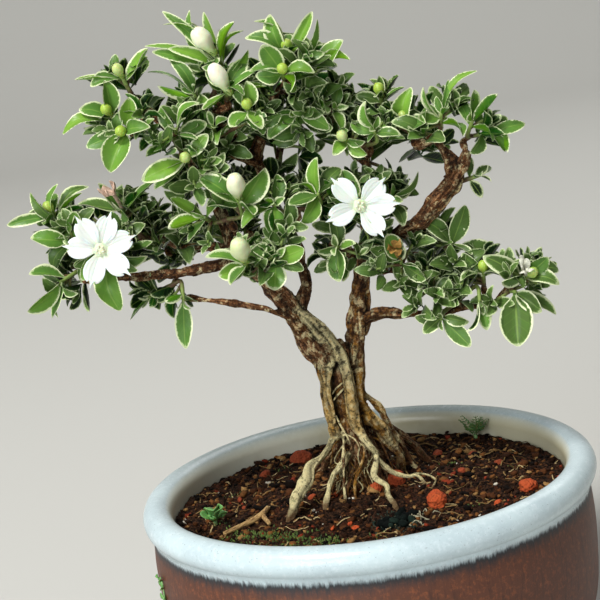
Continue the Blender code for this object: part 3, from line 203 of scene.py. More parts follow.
# Thin pale roots: a loop beside the front root, two that cross the hollow in the trunk, and two at its foot
PALE_ROOTS = [
    [(9.4, -7.2, 44.4, 0.3), (11.5, -4.6, 43.9, 0.28), (13.6, -4.2, 43.1, 0.25), (14.8, -6.2, 42.4, 0.24),
     (14, -8.4, 41.6, 0.22), (12.8, -9.6, 40.4, 0.2)],
    [(-5.1, -2.4, 64.6, 0.2), (-3.9, -3.1, 66, 0.24), (-2.3, -2.8, 67.1, 0.2)],
    [(-5.1, -2.5, 63.1, 0.2), (-3.8, -3.2, 64.5, 0.26), (-2.2, -2.8, 65.7, 0.2)],
    [(-5, -3, 59.6, 0.22), (-4.3, -4.2, 57.8, 0.24), (-3.4, -5.4, 55.6, 0.22), (-2.8, -6, 53.7, 0.16)],
    [(-5, -3.4, 54.7, 0.2), (-3.2, -4.9, 55.3, 0.2), (-1.6, -5.8, 54.4, 0.2), (-0.9, -6.4, 52.6, 0.15)],
]

# Wilted flowers: the head that carries them, where they show, how they face, length and colour
WILTED = [
    ("left_arch", 0, (-46.4, 116.4, -1), (-0.35, -0.4, 0.85), 3.6, "#d9b9a4"),
    ("right_inner", 0, (13.2, 95, -10), (0.2, -0.7, 0.4), 3.8, "#a8803c"),
    ("right_tip", 1, (41.4, 85.8, -14), (0.1, -0.7, 0.5), 3.2, "#e3e3d2"),
]

# Leafy heads. Each is (x, z as seen, depth), the way it faces, leaf length, pairs of leaves set by
# rule, what its tip carries, and listed leaves as (x, z of the tip as seen, forward, width).
SPRAYS = {
    "left_high": [
        ((-60.5, 114, 2), (-0.3, -0.35, 0.9), 7, 2, "bud",
         [(-70.8, 113, 1, 2.8), (-53.3, 117.6, 2, 3.2), (-51.6, 118.8, -2, 2.8)]),
        ((-58.2, 107.6, -3), (-0.6, -0.7, 0.2), 7, 1, "", [(-66.2, 109.3, 1, 4.4)])],
    "left_bloom": [
        ((-50.6, 104.2, -9), (-0.05, -0.95, 0.2), 8, 1, "bloom",
         [(-41.3, 101.6, 2, 4.6), (-49.4, 90.2, 3, 5.6), (-56.8, 98.4, 2, 4.2)])],
    "left_low": [
        ((-61.5, 98.6, -7), (-0.6, -0.6, -0.2), 6.5, 1, "",
         [(-69.8, 93, 2, 4.2), (-64.6, 90.8, 0, 4.2), (-68, 101.4, 1, 3.6)]),
        ((-59, 103.4, 2), (-0.4, -0.5, 0.6), 5.5, 2, "", [])],
    "left_arch": [
        ((-45.2, 113, 1), (-0.1, -0.5, 0.85), 6.5, 1, "",
         [(-54.6, 115.2, 1, 3.6), (-36.2, 118.3, 2, 3.4), (-43.4, 108.8, 3, 3.2)]),
        ((-39, 108.4, 6), (0.2, -0.1, 0.9), 5.5, 2, "", [])],
    "left_hanging": [
        ((-42.8, 92, -4), (-0.8, -0.3, -0.3), 5.5, 2, "", [(-47.4, 87.8, 1, 3.2)]),
        ((-35, 90.2, -5), (0, -0.3, -0.9), 5.5, 1, "", [(-36.2, 79.4, 0, 4.2)])],
    "left_rear": [((-50, 104, 12), (-0.4, 0.8, 0.4), 8, 3, "bud", [])],
    "left_rear_inner": [((-37, 104, 20), (-0.1, 0.9, 0.3), 8, 3, "", [])],
    "crown_left_tip": [
        ((-40.4, 141.4, -2), (-0.3, -0.3, 0.9), 6, 1, "bud",
         [(-50.6, 142.3, 0, 3.2), (-33.8, 146.6, 1, 4)])],
    "crown_left": [
        ((-44.2, 133.6, -4), (-0.3, -0.6, 0.7), 6.5, 1, "bud",
         [(-44.4, 141.2, 0, 4.4), (-50.8, 135.8, 1, 3.8), (-55.2, 131, 1, 3.6)]),
        ((-41.8, 129.8, -8), (-0.3, -0.9, 0.1), 6.5, 1, "bud",
         [(-50.6, 127.4, 1, 3.8), (-46.4, 121.2, 2, 6), (-39.6, 136.9, 1, 4)])],
    "crown_left_inner": [
        ((-30.5, 128.6, -8), (0.2, -0.7, 0.7), 7, 2, "", [(-24.6, 133.4, 1, 3.6)]),
        ((-29.3, 121.6, -9), (-0.1, -0.9, 0.3), 6.5, 1, "bud",
         [(-39.8, 118.4, 1, 4.4), (-37.4, 116, -3, 4)])],
    "crown_left_bud": [
        ((-19.4, 142.8, 0), (-0.25, -0.4, 0.9), 7.5, 1, "large bud",
         [(-29.8, 151.2, 0, 3), (-25, 151.4, -2, 3), (-14.4, 149.6, 0, 2.8), (-33, 145.8, 0, 3)]),
        ((-25.6, 135.8, 1), (-0.4, -0.3, 0.8), 6, 2, "", [])],
    "crown_mid_bud": [
        ((-18.4, 135.8, -6), (0.05, -0.75, 0.65), 7, 2, "large bud", [(-10.6, 138.8, 1, 3.2)])],
    "crown_centre": [
        ((-14.4, 130.6, -7), (0, -0.8, 0.6), 6.5, 1, "bud",
         [(-13.8, 136.6, 1, 4), (-18.8, 127.2, 2, 4.2), (-12.2, 125.2, 2, 4.8)]),
        ((-22.6, 128, -4), (-0.2, -0.7, 0.6), 7, 3, "", [])],
    "crown_rear_left": [((-29, 132.5, 11), (-0.3, 0.8, 0.6), 8, 3, "", [])],
    "crown_rear": [((-16, 132, 15), (0, 0.9, 0.5), 8, 3, "bud", [])],
    "top": [
        ((-4.2, 141.4, -2), (0.1, -0.5, 0.85), 7, 1, "bud",
         [(-12.6, 145.8, 0, 3.4), (-10.2, 149, 0, 3.4), (-6.6, 150, -2, 4), (2.6, 149.3, 0, 3)]),
        ((-5.6, 137.4, -8), (0, -0.9, 0.4), 6.5, 1, "bud",
         [(-9.2, 143.8, 2, 5), (-11.6, 137.4, 1, 3.8), (-4.6, 132.8, 2, 4)])],
    "top_right": [
        ((1.8, 136.8, -4), (0.5, -0.6, 0.5), 7, 1, "", [(8.4, 142.2, 0, 4.6), (9.4, 137.8, 1, 4.4)]),
        ((6, 132.4, 3), (0.7, -0.3, 0.5), 6, 2, "", [])],
    "top_under": [
        ((-3.8, 127.6, -3), (-0.2, -0.8, -0.1), 6.5, 1, "", [(-11, 123.4, 1, 3.8), (2.8, 123.6, 1, 3.6)]),
        ((5, 128, -2), (0.4, -0.7, 0.4), 6, 2, "", [])],
    "top_rear": [((-5, 137.5, 11), (0, 0.8, 0.6), 8, 3, "", [])],
    "right_high": [((14.8, 129, 1), (-0.1, -0.4, 0.9), 7, 3, "bud", [])],
    "right_high_bud": [
        ((19.6, 122.4, -5), (-0.25, -0.5, 0.85), 7, 1, "bud",
         [(10.6, 119.4, 1, 3.4), (28.8, 122.2, 0, 3.6), (21.6, 130, 1, 4.4)])],
    "right_high_inner": [
        ((12.4, 122.2, -8), (-0.1, -0.7, 0.7), 6, 1, "", [(11.5, 128.4, 1, 3.8)]),
        ((5.8, 120.6, -5), (-0.3, -0.7, 0.6), 5.5, 1, "bud",
         [(10.2, 116.8, 2, 3.2), (2.6, 117.8, 2, 3)])],
    "right_high_outer": [
        ((27.6, 123.4, -8), (0.1, -0.6, 0.8), 7.5, 2, "", [(36.5, 131.4, 0, 1.9)])],
    "right_high_tip": [
        ((34.2, 120.8, -9), (0.3, -0.6, 0.8), 7, 1, "", [(40.4, 125.6, 1, 3.8), (35.4, 127.4, -1, 4.2)]),
        ((38, 117.6, -7), (0.8, -0.5, 0.1), 6, 1, "",
         [(45.6, 118.4, 0, 3), (41, 112.6, 1, 3.8), (32.6, 113.8, 2, 3.6)])],
    "right_side": [((34.6, 108.6, -5), (0.9, -0.3, 0.2), 5.5, 2, "", [])],
    "right_high_rear": [((23, 122, 9), (0.3, 0.8, 0.6), 8, 3, "", [])],
    "right_rear": [((8.5, 126.5, 14), (0, 0.8, 0.6), 8, 3, "", [])],
    "centre_bud": [
        ((-19.4, 110.6, -9), (0, -0.6, 0.8), 7, 1, "large bud",
         [(-27.4, 117.4, 0, 4.4), (-26.4, 110.6, 2, 4), (-12.6, 117.2, -1, 5.4)]),
        ((-28, 108.6, -7), (-0.5, -0.7, 0.5), 5.5, 1, "",
         [(-35.8, 107, 1, 3.8), (-34.2, 113.6, 1, 2.8)])],
    "centre": [
        ((-11.6, 108.8, -8), (0, -0.8, 0.5), 7, 1, "", [(-13.6, 102.4, 2, 5.6), (-19.6, 104.6, 2, 3.6)]),
        ((-1.8, 109.8, -7), (0, -0.7, 0.7), 6.5, 1, "",
         [(-0.8, 117.8, 0, 4.2), (-6.4, 103.8, 2, 4.2), (-7.4, 112.2, 1, 3.4)])],
    "centre_bloom": [
        ((6.6, 105.4, -7), (0.05, -0.95, 0.2), 7, 1, "bloom",
         [(4.2, 114.2, -2, 3.8), (12.8, 112.2, -1, 3.2)])],
    "centre_right": [
        ((14.6, 106.6, -4), (0.5, -0.7, 0.4), 6.5, 2, "", [(20.8, 111.4, 1, 2.8)])],
    "low_bud": [
        ((-20, 96.6, -16), (-0.1, -0.7, 0.7), 7, 1, "large bud",
         [(-28.6, 99.4, 0, 3), (-26.4, 94.8, 1, 4)]),
        ((-13, 96.6, -14), (0.2, -0.8, 0.4), 7, 1, "", [(-6.6, 98, 2, 4.2), (-14.4, 89.6, 2, 5)])],
    "centre_low": [
        ((0.6, 97.4, -5), (-0.2, -0.8, 0.3), 6.5, 2, "", [(0.2, 89.4, 1, 4.8)])],
    "centre_rear": [((-4, 113, 17), (0, 0.9, 0.4), 8, 3, "", [])],
    "low_rear": [((1, 101, 18), (0.1, 0.9, 0.3), 8, 3, "", [])],
    "low_left_rear": [((-19, 106, 20), (-0.2, 0.9, 0.4), 8, 3, "bud", [])],
    "right_fan": [
        ((26.2, 94.6, -2), (0.1, -0.6, 0.8), 6, 1, "",
         [(20, 100.4, 0, 4.2), (30.2, 102.4, -1, 4.6), (35.8, 88.6, -2, 4.2)])],
    "right_inner": [
        ((14.4, 92.2, -8), (-0.1, -0.8, 0.6), 6.5, 1, "", [(12, 98.4, 1, 4.6), (19.2, 88, 2, 4.4)]),
        ((19.4, 85.6, -7), (-0.2, -0.7, 0.5), 6.5, 1, "", [(12.6, 86.2, 1, 3.8)])],
    "right_hanging": [
        ((21.6, 77.4, -9), (-0.2, -0.8, -0.1), 5.5, 1, "", [(27.4, 70.2, 2, 4), (17.2, 74.8, 1, 3.2)]),
        ((30.8, 80, -11), (0, -0.7, -0.6), 6, 0, "", [(27, 73.8, 1, 3.6), (31.6, 73.4, 1, 3.2)])],
    "right_tip": [
        ((39, 81.2, -12), (0.2, -0.9, 0.1), 7, 0, "",
         [(38.2, 68.6, 3, 7.4), (44.4, 75.8, 2, 4), (47.4, 74.6, -1, 3.6)]),
        ((42.2, 84.4, -12), (0.4, -0.75, 0.45), 6.5, 1, "bud",
         [(47.2, 88, 1, 3.8), (49, 81.4, 2, 3.8), (32.8, 90.4, 0, 4.2)])],
    "right_low_mid": [
        ((32.4, 86.8, -7), (0, -0.6, 0.8), 7, 2, "bud", [])],
    "right_low_rear": [((22, 93, 15), (0.3, 0.8, 0.4), 8, 3, "", [])],
}

# Leaves that a head has beside those of the CAD: spray, head, and leaves set as above
EXTRA_LEAVES = {
    ("crown_left_bud", 0): [(-29.4, 154, 0, 2.8), (-23.6, 153.4, -1, 3), (-20.6, 152.6, -3, 2.8),
                            (-34.4, 147.2, -1, 2.4), (-29.4, 146, 1, 2.8), (-12.6, 147.4, -1, 2.8)],
    ("crown_left_bud", 1): [(-34.8, 141.6, 0, 2.6), (-29.4, 143.8, 0, 3), (-33, 138.4, 1, 2.6)],
    ("crown_mid_bud", 0): [(-12.4, 143.2, -2, 2.8), (-9.6, 134.8, 1, 2.8)],
    ("top", 0): [(3.4, 147.6, 1, 3)],
    ("right_high_outer", 0): [(30, 130.4, -1, 1.8), (24.4, 129.6, 0, 2.4)],
    ("left_high", 0): [(-64.4, 119.4, 0, 2.6), (-58.2, 120.4, 1, 2.8)],
    ("left_arch", 0): [(-49.4, 119.2, 0, 2.8)],
}

# Small side shoots on each head of a spray, where they aren't the usual number
SHOOT_COUNTS = {
    "right_side": 0, "right_hanging": 0, "left_hanging": 1, "right_high_tip": 1, "left_low": 3,
    "right_fan": 5, "right_inner": 6, "right_tip": 4, "right_low_mid": 6, "right_low_rear": 6,
    "left_bloom": 4, "left_rear": 5, "left_rear_inner": 5, "left_arch": 4,
}

# Branches that bear no small shoots
BARE_BRANCHES = ("low_twig", "left_arm", "front_left_arm", "right_arm", "golden_arm", "golden_fork")

# Half a petal's width, as a share, against its length
PETAL_SHARES = (0, 0.16, 0.4, 0.6, 0.74, 0.86, 0.94, 1)
PETAL_WIDTHS = (0.2, 0.42, 0.9, 1, 0.93, 0.76, 0.6, 0.42)

# Large buds: length, width, how far the foot lies behind its head, the way it points, and how white it is
LARGE_BUDS = {
    "crown_left_bud": (7.7, 4.2, 0, (-0.5, -0.25, 0.85), 0.85),
    "crown_mid_bud": (8.4, 3.9, 2.2, (-0.4, -0.35, 0.9), 1),
    "centre_bud": (7.8, 4.1, 0, (0, -0.6, 0.8), 0.75),
    "low_bud": (8.4, 4.3, 0, (-0.1, -0.7, 0.7), 0.5),
}

# Small buds: length and width
SMALL_BUD = (3.9, 2.5)

# A bud's outline: its radius as a share of half its width, against its share of the length
BUD_OUTLINE = [
    (0.26, 0), (0.34, 0.1), (0.54, 0.28), (0.9, 0.5), (1, 0.65), (0.8, 0.86), (0.46, 0.965), (0, 1),
]

# Blooms: petal angles round the bloom's axis, in degrees, and petal length
BLOOMS = {
    "left_bloom": ((14, 66, 118, 166, 246, 312), 7.4),
    "centre_bloom": ((-62, -5, 40, 128, 197), 7.4),
}

# Clay granules half sunk in the soil: x, y, radius
GRANULES = [(14.2, -15.6, 2.6), (6.4, -3.4, 2.2), (1.5, -6.8, 1.6), (-14.6, 32, 2.4), (35, -13, 2)]

# Small clay granules that lie loose: x, y, radius
SMALL_GRANULES = [
    (-8, -5.2, 1.1), (-13.2, -3, 0.9), (-4.6, -23.3, 0.8), (-9.6, -22, 0.6), (17.9, 17.7, 1.6),
    (-24, 24, 1.3), (27, -20, 0.9), (31, 8, 1.1), (-30, 8, 0.8), (9, 30, 1.2), (22, 2, 1), (26, 16, 1.2),
    (-5.6, -21, 0.5), (-29, 2, 0.6),
]

# Small weeds: x, y, leaves, leaf length, lean
WEEDS = {"weed_front": (-35.5, -6.5, 7, 4.4, 0.9), "weed_rear": (28.8, 30, 5, 4.6, 0.5)}

# The dead rootlet that lies on the soil: x, y, radius
DEAD_ROOTLET = [(-33.4, -14.6, 0.55), (-29, -11.4, 0.7), (-24.6, -8.6, 0.75), (-23.4, -4.6, 0.6)]

# How the shoots stand, in millimetres
STEM_RADIUS = 0.6
STEM_KNEE = 1.2
SHOOT_LENGTH = 4.5
PAIR_SPACING = 1.2
GAP = 0.3
BLOOM_TUBE = 4.5

# The soil, in millimetres: its edge and level at the wall, and its mound and waves as in the CAD
SOIL_EDGE = 45
SOIL_LEVEL = 38.8
SOIL_MOUND = 3.6
SOIL_WAVE = 0.45
MOUND_MIDDLE = (1, 3)
MOUND_SPREAD = 15

# Where the dark liverwort and the dry threads beside it lie: x, y
LIVERWORT = (4.6, -24)
DRY_THREADS = (9.2, -22.6)

# The drain holes: how many, how far from the middle, and their radius
DRAIN_HOLES = (5, 12, 1.9)

# The sprig: how far round the pot in degrees, the wall's radius there, and the heights of its leaf pairs
SPRIG_TURN = 196
SPRIG_WALL = 50.75
SPRIG_HEIGHTS = (24, 26.5, 29, 31)

# Fine roots: how many in all, and how many of them on the front
FINE_ROOTS = 170
FRONT_ROOTS = 130

# The trunk's foot, where the fine roots begin: its middle, and its radii across and in depth
FOOT_MIDDLE = (-1.2, 0.3)
FOOT_RADII = (3.9, 3.2)

# Branches bear small shoots above this height, in millimetres
LOWEST_SHOOT = 96

# Rows and columns of points in a leaf that is listed, set by rule, and on a small shoot
MARKED_GRID = (13, 7)
RULED_GRID = (9, 5)
SHOOT_GRID = (7, 5)

# The seeds from which each group draws its random numbers
SEEDS = {
    "stubs": 17, "crumbs": 21, "fibres": 23, "small granules": 31, "moss": 41, "moss blades": 51,
    "liverwort": 57, "small buds": 61, "fine roots": 77, "wilted flowers": 91, "ruled leaves": 100,
    "blades": 300, "side shoots": 500, "shoot leaves": 700, "branch shoots": 900, "sepals": 5, "sprig": 9,
}

# What the camera looks at, in millimetres, its roll in degrees, and where the lamps point, in metres
CAMERA_AIM = (-9.2, 0, 86.6)
CAMERA_ROLL = -8.46
LIGHT_AIM = (-0.009, 0, 0.085)


# Settings

def hex_colour(code):
    """The linear colour of an sRGB hex code: each channel is raised to about the power 2.4."""
    value = np.array([int(code[k:k + 2], 16) for k in (1, 3, 5)]) / 255
    linear = np.where(value <= 0.04045, value / 12.92, ((value + 0.055) / 1.055) ** 2.4)
    return (*linear.tolist(), 1.0)


def palette(*codes):
    """The linear colours of several hex codes, one row each."""
    return vec([hex_colour(code)[:3] for code in codes])


def colour_setting(name, description, code):
    """A colour that a user can change, given as sRGB hex."""
    return bpy.props.FloatVectorProperty(name=name, description=description, default=hex_colour(code),
                                         size=4, min=0, max=1, subtype="COLOR")


def plain_setting(name, description, value, **limits):
    """A plain number that a user can change."""
    return bpy.props.FloatProperty(name=name, description=description, default=value, **limits)


def count_setting(name, description, count, **limits):
    """A whole number that a user can change."""
    return bpy.props.IntProperty(name=name, description=description, default=count, min=0, **limits)


def size_setting(name, description, millimetres):
    """A length that a user can change, given in millimetres and kept in metres."""
    return plain_setting(name, description, millimetres * MM, unit="LENGTH", precision=4)


class PotSettings(bpy.types.PropertyGroup):
    """Sizes and colours of the glazed pot."""

    rim_radius: size_setting("Rim radius", "Outer radius of the rolled lip", 52)
    lip_radius: size_setting("Lip radius", "Radius of the rolled lip's section", 3.4)
    lip_height: size_setting("Lip height", "Height of the lip's middle", 42)
    floor: size_setting("Floor", "Thickness of the pot's floor", 5)
    foot_radius: size_setting("Foot radius", "Radius of the flat foot", 41)
    glaze: colour_setting("Glaze", "Pale glaze on the lip", "#c8dadf")
    glaze_shade: colour_setting("Glaze in thin places", "Greyer glaze where it is thin", "#a3b4bd")
    clay: colour_setting("Stoneware", "Reddish-brown fired body", "#57301f")
    clay_light: colour_setting("Stoneware mottle", "Orange mottles in the body", "#7e4628")
    clay_dark: colour_setting("Dark line", "Line where the glaze runs out", "#1f2429")


class SoilSettings(bpy.types.PropertyGroup):
    """Sizes and colours of the soil and what lies on it."""

    level: size_setting("Level", "Height of the soil at the pot's wall", SOIL_LEVEL)
    mound: size_setting("Mound", "How far the soil rises under the trunk", SOIL_MOUND)
    clump: size_setting("Clump height", "How far the soil's clumps stand up", 1.1)
    crumb: size_setting("Crumb size", "Mean radius of a loose crumb", 0.42)
    crumbs: count_setting("Crumbs", "Number of loose crumbs", 3400)
    fibres: count_setting("Fibres", "Number of loose root fibres", 560)
    dark: colour_setting("Soil", "Damp soil in the shade", "#120b07")
    light: colour_setting("Dry soil", "Drier tops of the crumbs", "#5a3c29")
    baked: colour_setting("Baked clay", "Red clay granules", "#a2321a")
    moss: colour_setting("Moss", "Moss and liverwort on the soil", "#41591f")


class TreeSettings(bpy.types.PropertyGroup):
    """Sizes and colours of the wood."""

    voxel: size_setting("Wood detail", "Cell size at which the strands are fused", 0.34)
    fissure: size_setting("Bark relief", "Depth of the bark's streaks", 0.34)
    knuckle: size_setting("Knuckles", "Height of the wood's knuckles", 0.5)
    bark: colour_setting("Bark", "Brown bark", "#8a5832")
    # Painted shade: the black-brown laid into the grooves where strands meet
    bark_groove_shade: colour_setting("Bark in the grooves", "Black-brown of the grooves", "#0e0805")
    bark_cream: colour_setting("Young bark", "Cream bark on roots and strands", "#fff3ba")
    bark_gold: colour_setting("Golden bark", "Ochre patches where bark has flaked", "#c8892c")


class LeafSettings(bpy.types.PropertyGroup):
    """Sizes and colours of the leaves and shoots."""

    width_ratio: plain_setting("Width ratio", "A leaf's width as a share of its length", 0.47,
                               min=0.2, max=0.9)
    thickness: size_setting("Thickness", "Thickness of a leaf at its midrib", 0.3)
    margin: size_setting("Cream margin", "Width of the cream margin", 0.3)
    side_shoots: count_setting("Side shoots", "Small side shoots on each head", 3, max=6)
    branch_shoots: count_setting("Branch shoots", "Small shoots along each branch", 11, max=12)
    # The young and old greens also serve as painted light high up and painted shade inside the crown
    light: colour_setting("Young green", "Bright yellow-green of young leaves", "#78ad1c")
    full: colour_setting("Full green", "Fresh green of grown leaves", "#2a7016")
    dark: colour_setting("Old green", "Dark green of shaded leaves", "#051b08")
    cream: colour_setting("Margin", "Cream-white margin of the leaf", "#e6eec2")
    under: colour_setting("Underside", "Paler underside of the leaf", "#6f8f48")


class FlowerSettings(bpy.types.PropertyGroup):
    """Sizes and colours of the flowers and buds."""

    petal_width: size_setting("Petal width", "Width of a petal at its widest", 4.9)
    white: colour_setting("Petal", "Pure white petals", "#e9e8e2")
    # The throat's green is partly painted shade
    throat: colour_setting("Throat", "Pale green in the throat", "#c9d59a")
    bud: colour_setting("Bud", "Cream to yellow-green of the buds", "#f3f4da")


class StageSettings(bpy.types.PropertyGroup):
    """Camera, floor and light."""

    lens: plain_setting("Lens", "Focal length in millimetres", 100, min=10)
    ground: colour_setting("Floor", "Plain pale floor and backdrop", "#c6c6c2")
    key_power: plain_setting("Key light", "Power of the soft key light", 32, min=0, unit="POWER")
    fill_power: plain_setting("Fill light", "Power of the soft fill light", 14, min=0, unit="POWER")
    sky: plain_setting("Sky light", "Strength of the even light all round", 0.22, min=0)


# Vectors and noise

def vec(values):
    """An array of floats."""
    return np.array(values, float)


def unit(v):
    """Vectors at length 1: each is divided by the root of the sum of its squares."""
    return v / np.maximum(np.linalg.norm(v, axis=-1, keepdims=True), 1e-9)


def dot(a, b):
    """The sum of the products of the parts, kept as a column."""
    return np.sum(a * b, axis=-1, keepdims=True)


def across(v, axis):
    """The unit vector of v's part that is square to the axis: v less its share along the axis."""
    v, axis = np.broadcast_arrays(v, axis)
    spare = np.broadcast_to(vec((0.1, -0.4, 1)), v.shape)
    flat = v - dot(v, axis) * axis
    weak = np.linalg.norm(flat, axis=-1, keepdims=True) < 1e-3
    return unit(np.where(weak, spare - dot(spare, axis) * axis, flat))


def turned(v, axis, degrees):
    """The vector turned about a unit axis: v cos a + (axis x v) sin a + axis (axis . v)(1 - cos a)."""
    angle = np.radians(degrees)
    return v * np.cos(angle) + np.cross(axis, v) * np.sin(angle) + axis * dot(axis, v) * (1 - np.cos(angle))


def even_turns(count):
    """Angles set evenly round a full turn."""
    return np.arange(count) * 2 * math.pi / count


def spokes(angle, u, v):
    """Vectors between two square axes, one for each angle a: u cos a + v sin a."""
    return np.cos(angle)[..., None] * u + np.sin(angle)[..., None] * v


def side_axes(hint, face):
    """Two unit vectors square to a facing, the first as near to the hint as it can be."""
    u = across(vec(hint), face)
    return u, np.cross(face, u)


def ball_ways(polar, corners):
    """Directions over a ball: sin p cos a, sin p sin a and cos p for each polar angle p and turn a."""
    angle = even_turns(corners)
    return np.stack([np.sin(polar)[:, None] * np.cos(angle), np.sin(polar)[:, None] * np.sin(angle),
                     np.cos(polar)[:, None] + 0 * angle], -1)


def on_disc(radius, number, chance):
    """Places spread evenly over a disc: the distance from its middle is R sqrt(u) for an even random u."""
    reach = radius * np.sqrt(chance.uniform(0, 1, number))
    angle = chance.uniform(0, 2 * math.pi, number)
    return reach, np.stack([reach * np.cos(angle), reach * np.sin(angle)], -1)


def seen(x, z, depth):
    """The point at this depth that shows at x, z on the plane y = 0 from the sight point."""
    share = (depth - SIGHT_POINT[1]) / -SIGHT_POINT[1]
    return SIGHT_POINT + share * (vec((x, 0, z)) - SIGHT_POINT)


def smooth_step(low, high, value):
    """0 below low, 1 above high, and t t (3 - 2 t) between them."""
    t = np.clip((value - low) / (high - low), 0, 1)
    return t * t * (3 - 2 * t)


def lattice(i, j, k, seed):
    """A fixed random number from 0 to 1 for each whole-number place, by mixing the bits of i, j and k."""
    n = (i * 73856093) ^ (j * 19349663) ^ (k * 83492791) ^ (seed * 2654435761)
    n = (n ^ (n >> 13)) * 1274126177
    return ((n ^ (n >> 16)) & 0xFFFF) / 65535


def noise(points, seed=0):
    """Smooth noise from -1 to 1: the eight lattice numbers round a point, blended by t t (3 - 2 t)."""
    cell = np.floor(points).astype(np.int64)
    t = points - cell
    t = t * t * (3 - 2 * t)
    total = np.zeros(points.shape[:-1])
    for corner in np.ndindex(2, 2, 2):
        weight = np.ones(points.shape[:-1])
        for axis, step in enumerate(corner):
            weight = weight * (t[..., axis] if step else 1 - t[..., axis])
        total += weight * lattice(*(cell[..., axis] + corner[axis] for axis in range(3)), seed)
    return 2 * total - 1


def layered(points, layers, seed=0):
    """Layers of noise added up, each twice as fine and half as strong as the last."""
    return sum(noise(points * 2 ** k, seed + k) / 2 ** k for k in range(layers))


def looking(place, target, roll=0.0):
    """The matrix of a lamp or camera at a place that looks at a target, rolled by degrees."""
    back = unit(place - target)
    right = unit(np.cross(vec((0, 0, 1)), back))
    up = np.cross(back, right)
    angle = math.radians(roll)
    leaning = math.cos(angle) * right + math.sin(angle) * up
    upright = math.cos(angle) * up - math.sin(angle) * right
    matrix = np.eye(4)
    matrix[:3] = np.column_stack([leaning, upright, back, place])
    return Matrix(matrix.tolist())


# Surfaces

class Skin:
    """A surface: points in millimetres, four- and three-cornered faces, and named values at the points."""

    def __init__(self, points, quads, tris, marks=None):
        """Keep points, faces and values as rows, whatever the shape of the arrays they come in."""
        self.points = points.reshape(-1, 3)
        self.quads = np.asarray(quads, int).reshape(-1, 4)
        self.tris = np.asarray(tris, int).reshape(-1, 3)
        self.marks = {name: value.reshape(-1, 3) for name, value in (marks or {}).items()}

    def paint(self, name, value):
        """Give every point the same value under a name."""
        self.marks[name] = np.tile(vec(value), (len(self.points), 1))


def merged(skins):
    """Several skins as one: their points and faces one after the other."""
    starts = np.cumsum([0] + [len(skin.points) for skin in skins])
    names = sorted({name for skin in skins for name in skin.marks})
    marks = {name: np.concatenate([skin.marks.get(name, np.zeros_like(skin.points)) for skin in skins])
             for name in names}
    return Skin(np.concatenate([skin.points for skin in skins]),
                np.concatenate([skin.quads + start for skin, start in zip(skins, starts)]),
                np.concatenate([skin.tris + start for skin, start in zip(skins, starts)]), marks)


def repeated(points, quads, tris, marks=None):
    """One skin from a batch of point sets that share their faces, each shifted by its place in the row."""
    shift = (np.arange(len(points)) * points.shape[1])[:, None, None]
    return Skin(points, quads[None] + shift, tris[None] + shift, marks)


def with_poles(rings):
    """Values on a batch of rings, with the first ring's mean put before them and the last ring's after."""
    flat = rings.reshape(len(rings), -1, rings.shape[-1])
    first, last = (rings[:, k].mean(axis=1, keepdims=True) for k in (0, -1))
    return np.concatenate([first, flat, last], axis=1)


def ring_skins(rings, start=None, end=None, marks=None):
    """Closed skins over a batch of rings of points, each drawn to a pole at both ends."""
    count, corners = rings.shape[1:3]
    points = with_poles(rings)
    if start is not None:
        points[:, 0] = start
        points[:, -1] = end
    k = np.arange(corners)
    ahead = (k + 1) % corners
    low = 1 + np.arange(count - 1)[:, None] * corners
    quads = np.stack([low + k, low + ahead, low + corners + ahead, low + corners + k], -1).reshape(-1, 4)
    top = 1 + (count - 1) * corners
    first = np.stack([0 * k, 1 + ahead, 1 + k], -1)
    last = np.stack([top + k, top + ahead, 0 * k + top + corners], -1)
    padded = {name: with_poles(value) for name, value in (marks or {}).items()}
    return repeated(points, quads, np.concatenate([first, last]), padded)


def grid_faces(index):
    """Four-cornered faces over a grid of point numbers."""
    corners = [index[:-1, :-1], index[1:, :-1], index[1:, 1:], index[:-1, 1:]]
    return np.stack(corners, -1).reshape(-1, 4)


def lens_sheets(grid, thickness, marks=None):
    """Thin closed blades over a batch of open grids of points.

    Both skins share the grid's border; inside it they stand half the thickness to each side along the
    grid's normal, which is the cross product of its two directions.
    """
    rows, columns = grid.shape[1:3]
    normal = unit(np.cross(np.gradient(grid, axis=1), np.gradient(grid, axis=2)))
    inner = np.zeros((rows, columns), bool)
    inner[1:-1, 1:-1] = True
    lift = normal * (0.5 * thickness * inner)[..., None]
    upper = np.arange(rows * columns).reshape(rows, columns)
    lower = upper.copy()
    lower[inner] = rows * columns + np.arange(inner.sum())
    quads = np.concatenate([grid_faces(upper), grid_faces(lower)[:, ::-1]])
    points = np.concatenate([(grid + lift).reshape(len(grid), -1, 3), (grid - lift)[:, inner]], axis=1)
    full = {name: np.concatenate([value.reshape(len(grid), -1, 3), value[:, inner]], axis=1)
            for name, value in (marks or {}).items()}
    full["upper_side"] = np.zeros(points.shape)
    full["upper_side"][:, :rows * columns] = 1
    return repeated(points, quads, np.zeros((0, 3), int), full)


def smooth_route(route, step=0.7):
    """Points close along the Catmull-Rom curve through a route of points and radii."""
    route = vec(route)
    padded = np.vstack([2 * route[0] - route[1], route, 2 * route[-1] - route[-2]])
    runs = []
    for a, b, c, d in zip(padded[:-3], padded[1:-2], padded[2:-1], padded[3:]):
        count = max(2, int(np.linalg.norm((c - b)[:3]) / step))
        t = (np.arange(count) / count)[:, None]
        runs.append(0.5 * (2 * b + (c - a) * t + (2 * a - 5 * b + 4 * c - d) * t ** 2
                           + (3 * b - a - 3 * c + d) * t ** 3))
    return np.vstack(runs + [route[-1:]])


def path_frames(places):
    """Unit vectors along a path and two across it, carried from point to point without twist."""
    along = unit(np.gradient(places, axis=0))
    u = across(vec((0.3, 0.9, 0.2)), along[0])
    sides = []
    for way in along:
        u = across(u, way)
        sides.append(u)
    side = np.array(sides)
    return along, side, np.cross(along, side)


